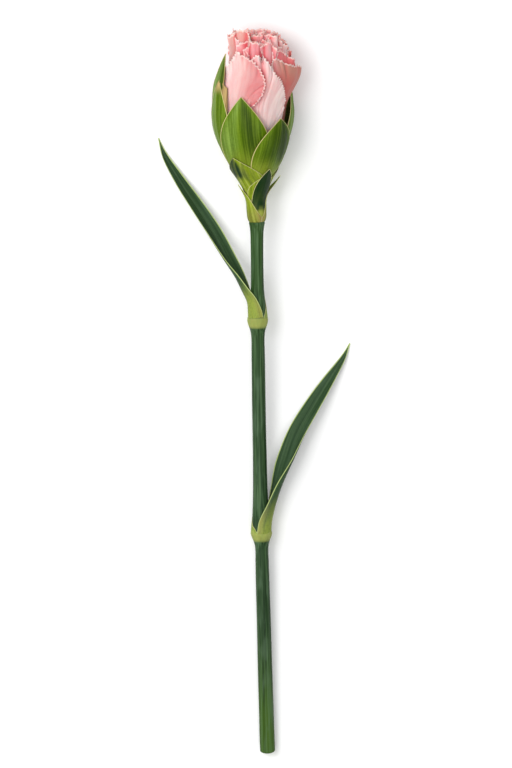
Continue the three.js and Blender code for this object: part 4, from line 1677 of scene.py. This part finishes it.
@dataclass(frozen=True)
class Pistil:
    """The seed vessel in the middle of the bud, with its styles grown together."""

    profile: tuple[Row, ...] = (
        (14, 1.1), (16.5, 1.3), (20, 1.05), (23, 0.75), (26, 0.5), (31, 0.4), (42, 0.35),
        (42.6, 0.05),
    )
    rows: int = 60
    round_count: int = 36

    def build(self) -> None:
        """Lathes the profile round the bud's axis, with three soft ribs, and closes it."""
        low, high = self.profile[0][0], self.profile[-1][0]
        azimuth = np.arange(self.round_count) * 360 / self.round_count
        hh, aa = np.meshgrid(np.linspace(low, high, self.rows), azimuth)
        radius = along(self.profile, hh) * (1 + 0.06 * np.cos(np.radians(3 * aa)))
        across, deep = radius * np.cos(np.radians(aa)), radius * np.sin(np.radians(aa))
        marks = {"grain": np.stack([across, hh, deep], -1), "up": (hh - low) / (high - low)}
        body = Tube(BUD.place(radius, aa, hh), marks)
        enlist(body.build("seed_vessel", PistilFinish().material()), Slot.PISTIL, "pistil")


# ---------------------------------------------------------------- studio


@dataclass(frozen=True)
class Lamp:
    """A square lamp at a place in metres, facing the flower's middle."""

    name: str
    place: tuple[float, float, float]
    size: float
    power: float

    def build(self) -> None:
        """Hangs the lamp."""
        data = bpy.data.lights.new(self.name, "AREA")
        data.shape, data.size, data.energy = "SQUARE", self.size, self.power
        made = bpy.data.objects.new(self.name, data)
        bpy.context.scene.collection.objects.link(made)
        x, y, z = made.location = self.place
        made.rotation_euler = (math.atan2(math.hypot(x, y), z), 0.0, float(np.arctan2(x, -y)))


@dataclass(frozen=True)
class Studio:
    """The camera, the pale floor and the soft lights."""

    lens: float = 800.0
    sensor: float = 36.0
    distance: float = 5.894
    tilt: float = 5.5  # the camera stands this far towards the bud from overhead, in degrees
    aim: tuple[float, float, float] = (0.00064, 0.0021, 0.0085)
    far: float = 30.0
    world: float = 0.35
    lamps: tuple[Lamp, ...] = (
        Lamp("key", (-0.68, 0.32, 1.1), size=0.9, power=11.5),
        Lamp("top", (0.0, 0.0, 1.6), size=1.8, power=18.5),
    )
    floor_half: float = 6.0
    floor_gap: float = 0.00005  # between the flower and the floor
    paper: tuple[Colour, Colour] = ((0.94, 0.94, 0.94, 1.0), (0.92, 0.92, 0.92, 1.0))

    def camera(self) -> None:
        """A camera at aim + distance * (0, sin tilt, cos tilt), looking back at the aim."""
        data = bpy.data.cameras.new("camera")
        data.lens, data.sensor_width, data.clip_end = self.lens, self.sensor, self.far
        made = bpy.data.objects.new("camera", data)
        bpy.context.scene.collection.objects.link(made)
        lean = math.radians(self.tilt)
        x, y, z = self.aim
        made.location = (x, y + self.distance * math.sin(lean), z + self.distance * math.cos(lean))
        made.rotation_euler = (-lean, 0.0, 0.0)
        bpy.context.scene.camera = made

    def floor(self) -> None:
        """A wide pale plane just under the flower."""
        mesh = bpy.data.meshes.new("floor")
        size, low = self.floor_half, float(CAD_BOX[0].z) - self.floor_gap
        corners = [(-size, -size, low), (size, -size, low), (size, size, low), (-size, size, low)]
        mesh.from_pydata(corners, [], [(0, 1, 2, 3)])
        b = Bench("floor_paper")
        fibre = b.noise(b.place(), 900.0, 3.0)
        finish = {"Base Color": b.blend(*self.paper, fibre), "Roughness": 0.8, "Specular IOR Level": 0.1}
        mesh.materials.append(b.finish(finish))
        made = bpy.data.objects.new("floor", mesh)
        bpy.context.scene.collection.objects.link(made)

    def build(self) -> None:
        """Sets the camera, floor, lights, surroundings and plain colour handling."""
        self.camera()
        self.floor()
        for lamp in self.lamps:
            lamp.build()
        surroundings = bpy.data.worlds.new("surroundings")
        surroundings.use_nodes = True
        background = surroundings.node_tree.nodes["Background"]
        background.inputs["Color"].default_value = (1, 1, 1, 1)
        background.inputs["Strength"].default_value = self.world
        bpy.context.scene.world = surroundings
        bpy.context.scene.view_settings.view_transform = "Standard"


def main() -> None:
    """Builds the studio and then the flower, from the stem to the innermost petals."""
    logging.basicConfig(level=logging.INFO, format="%(message)s")
    Studio().build()
    Stem().build()
    Foliage().build()
    Calyx().build()
    Corolla().build()
    Pistil().build()


if __name__ == "__main__":
    main()
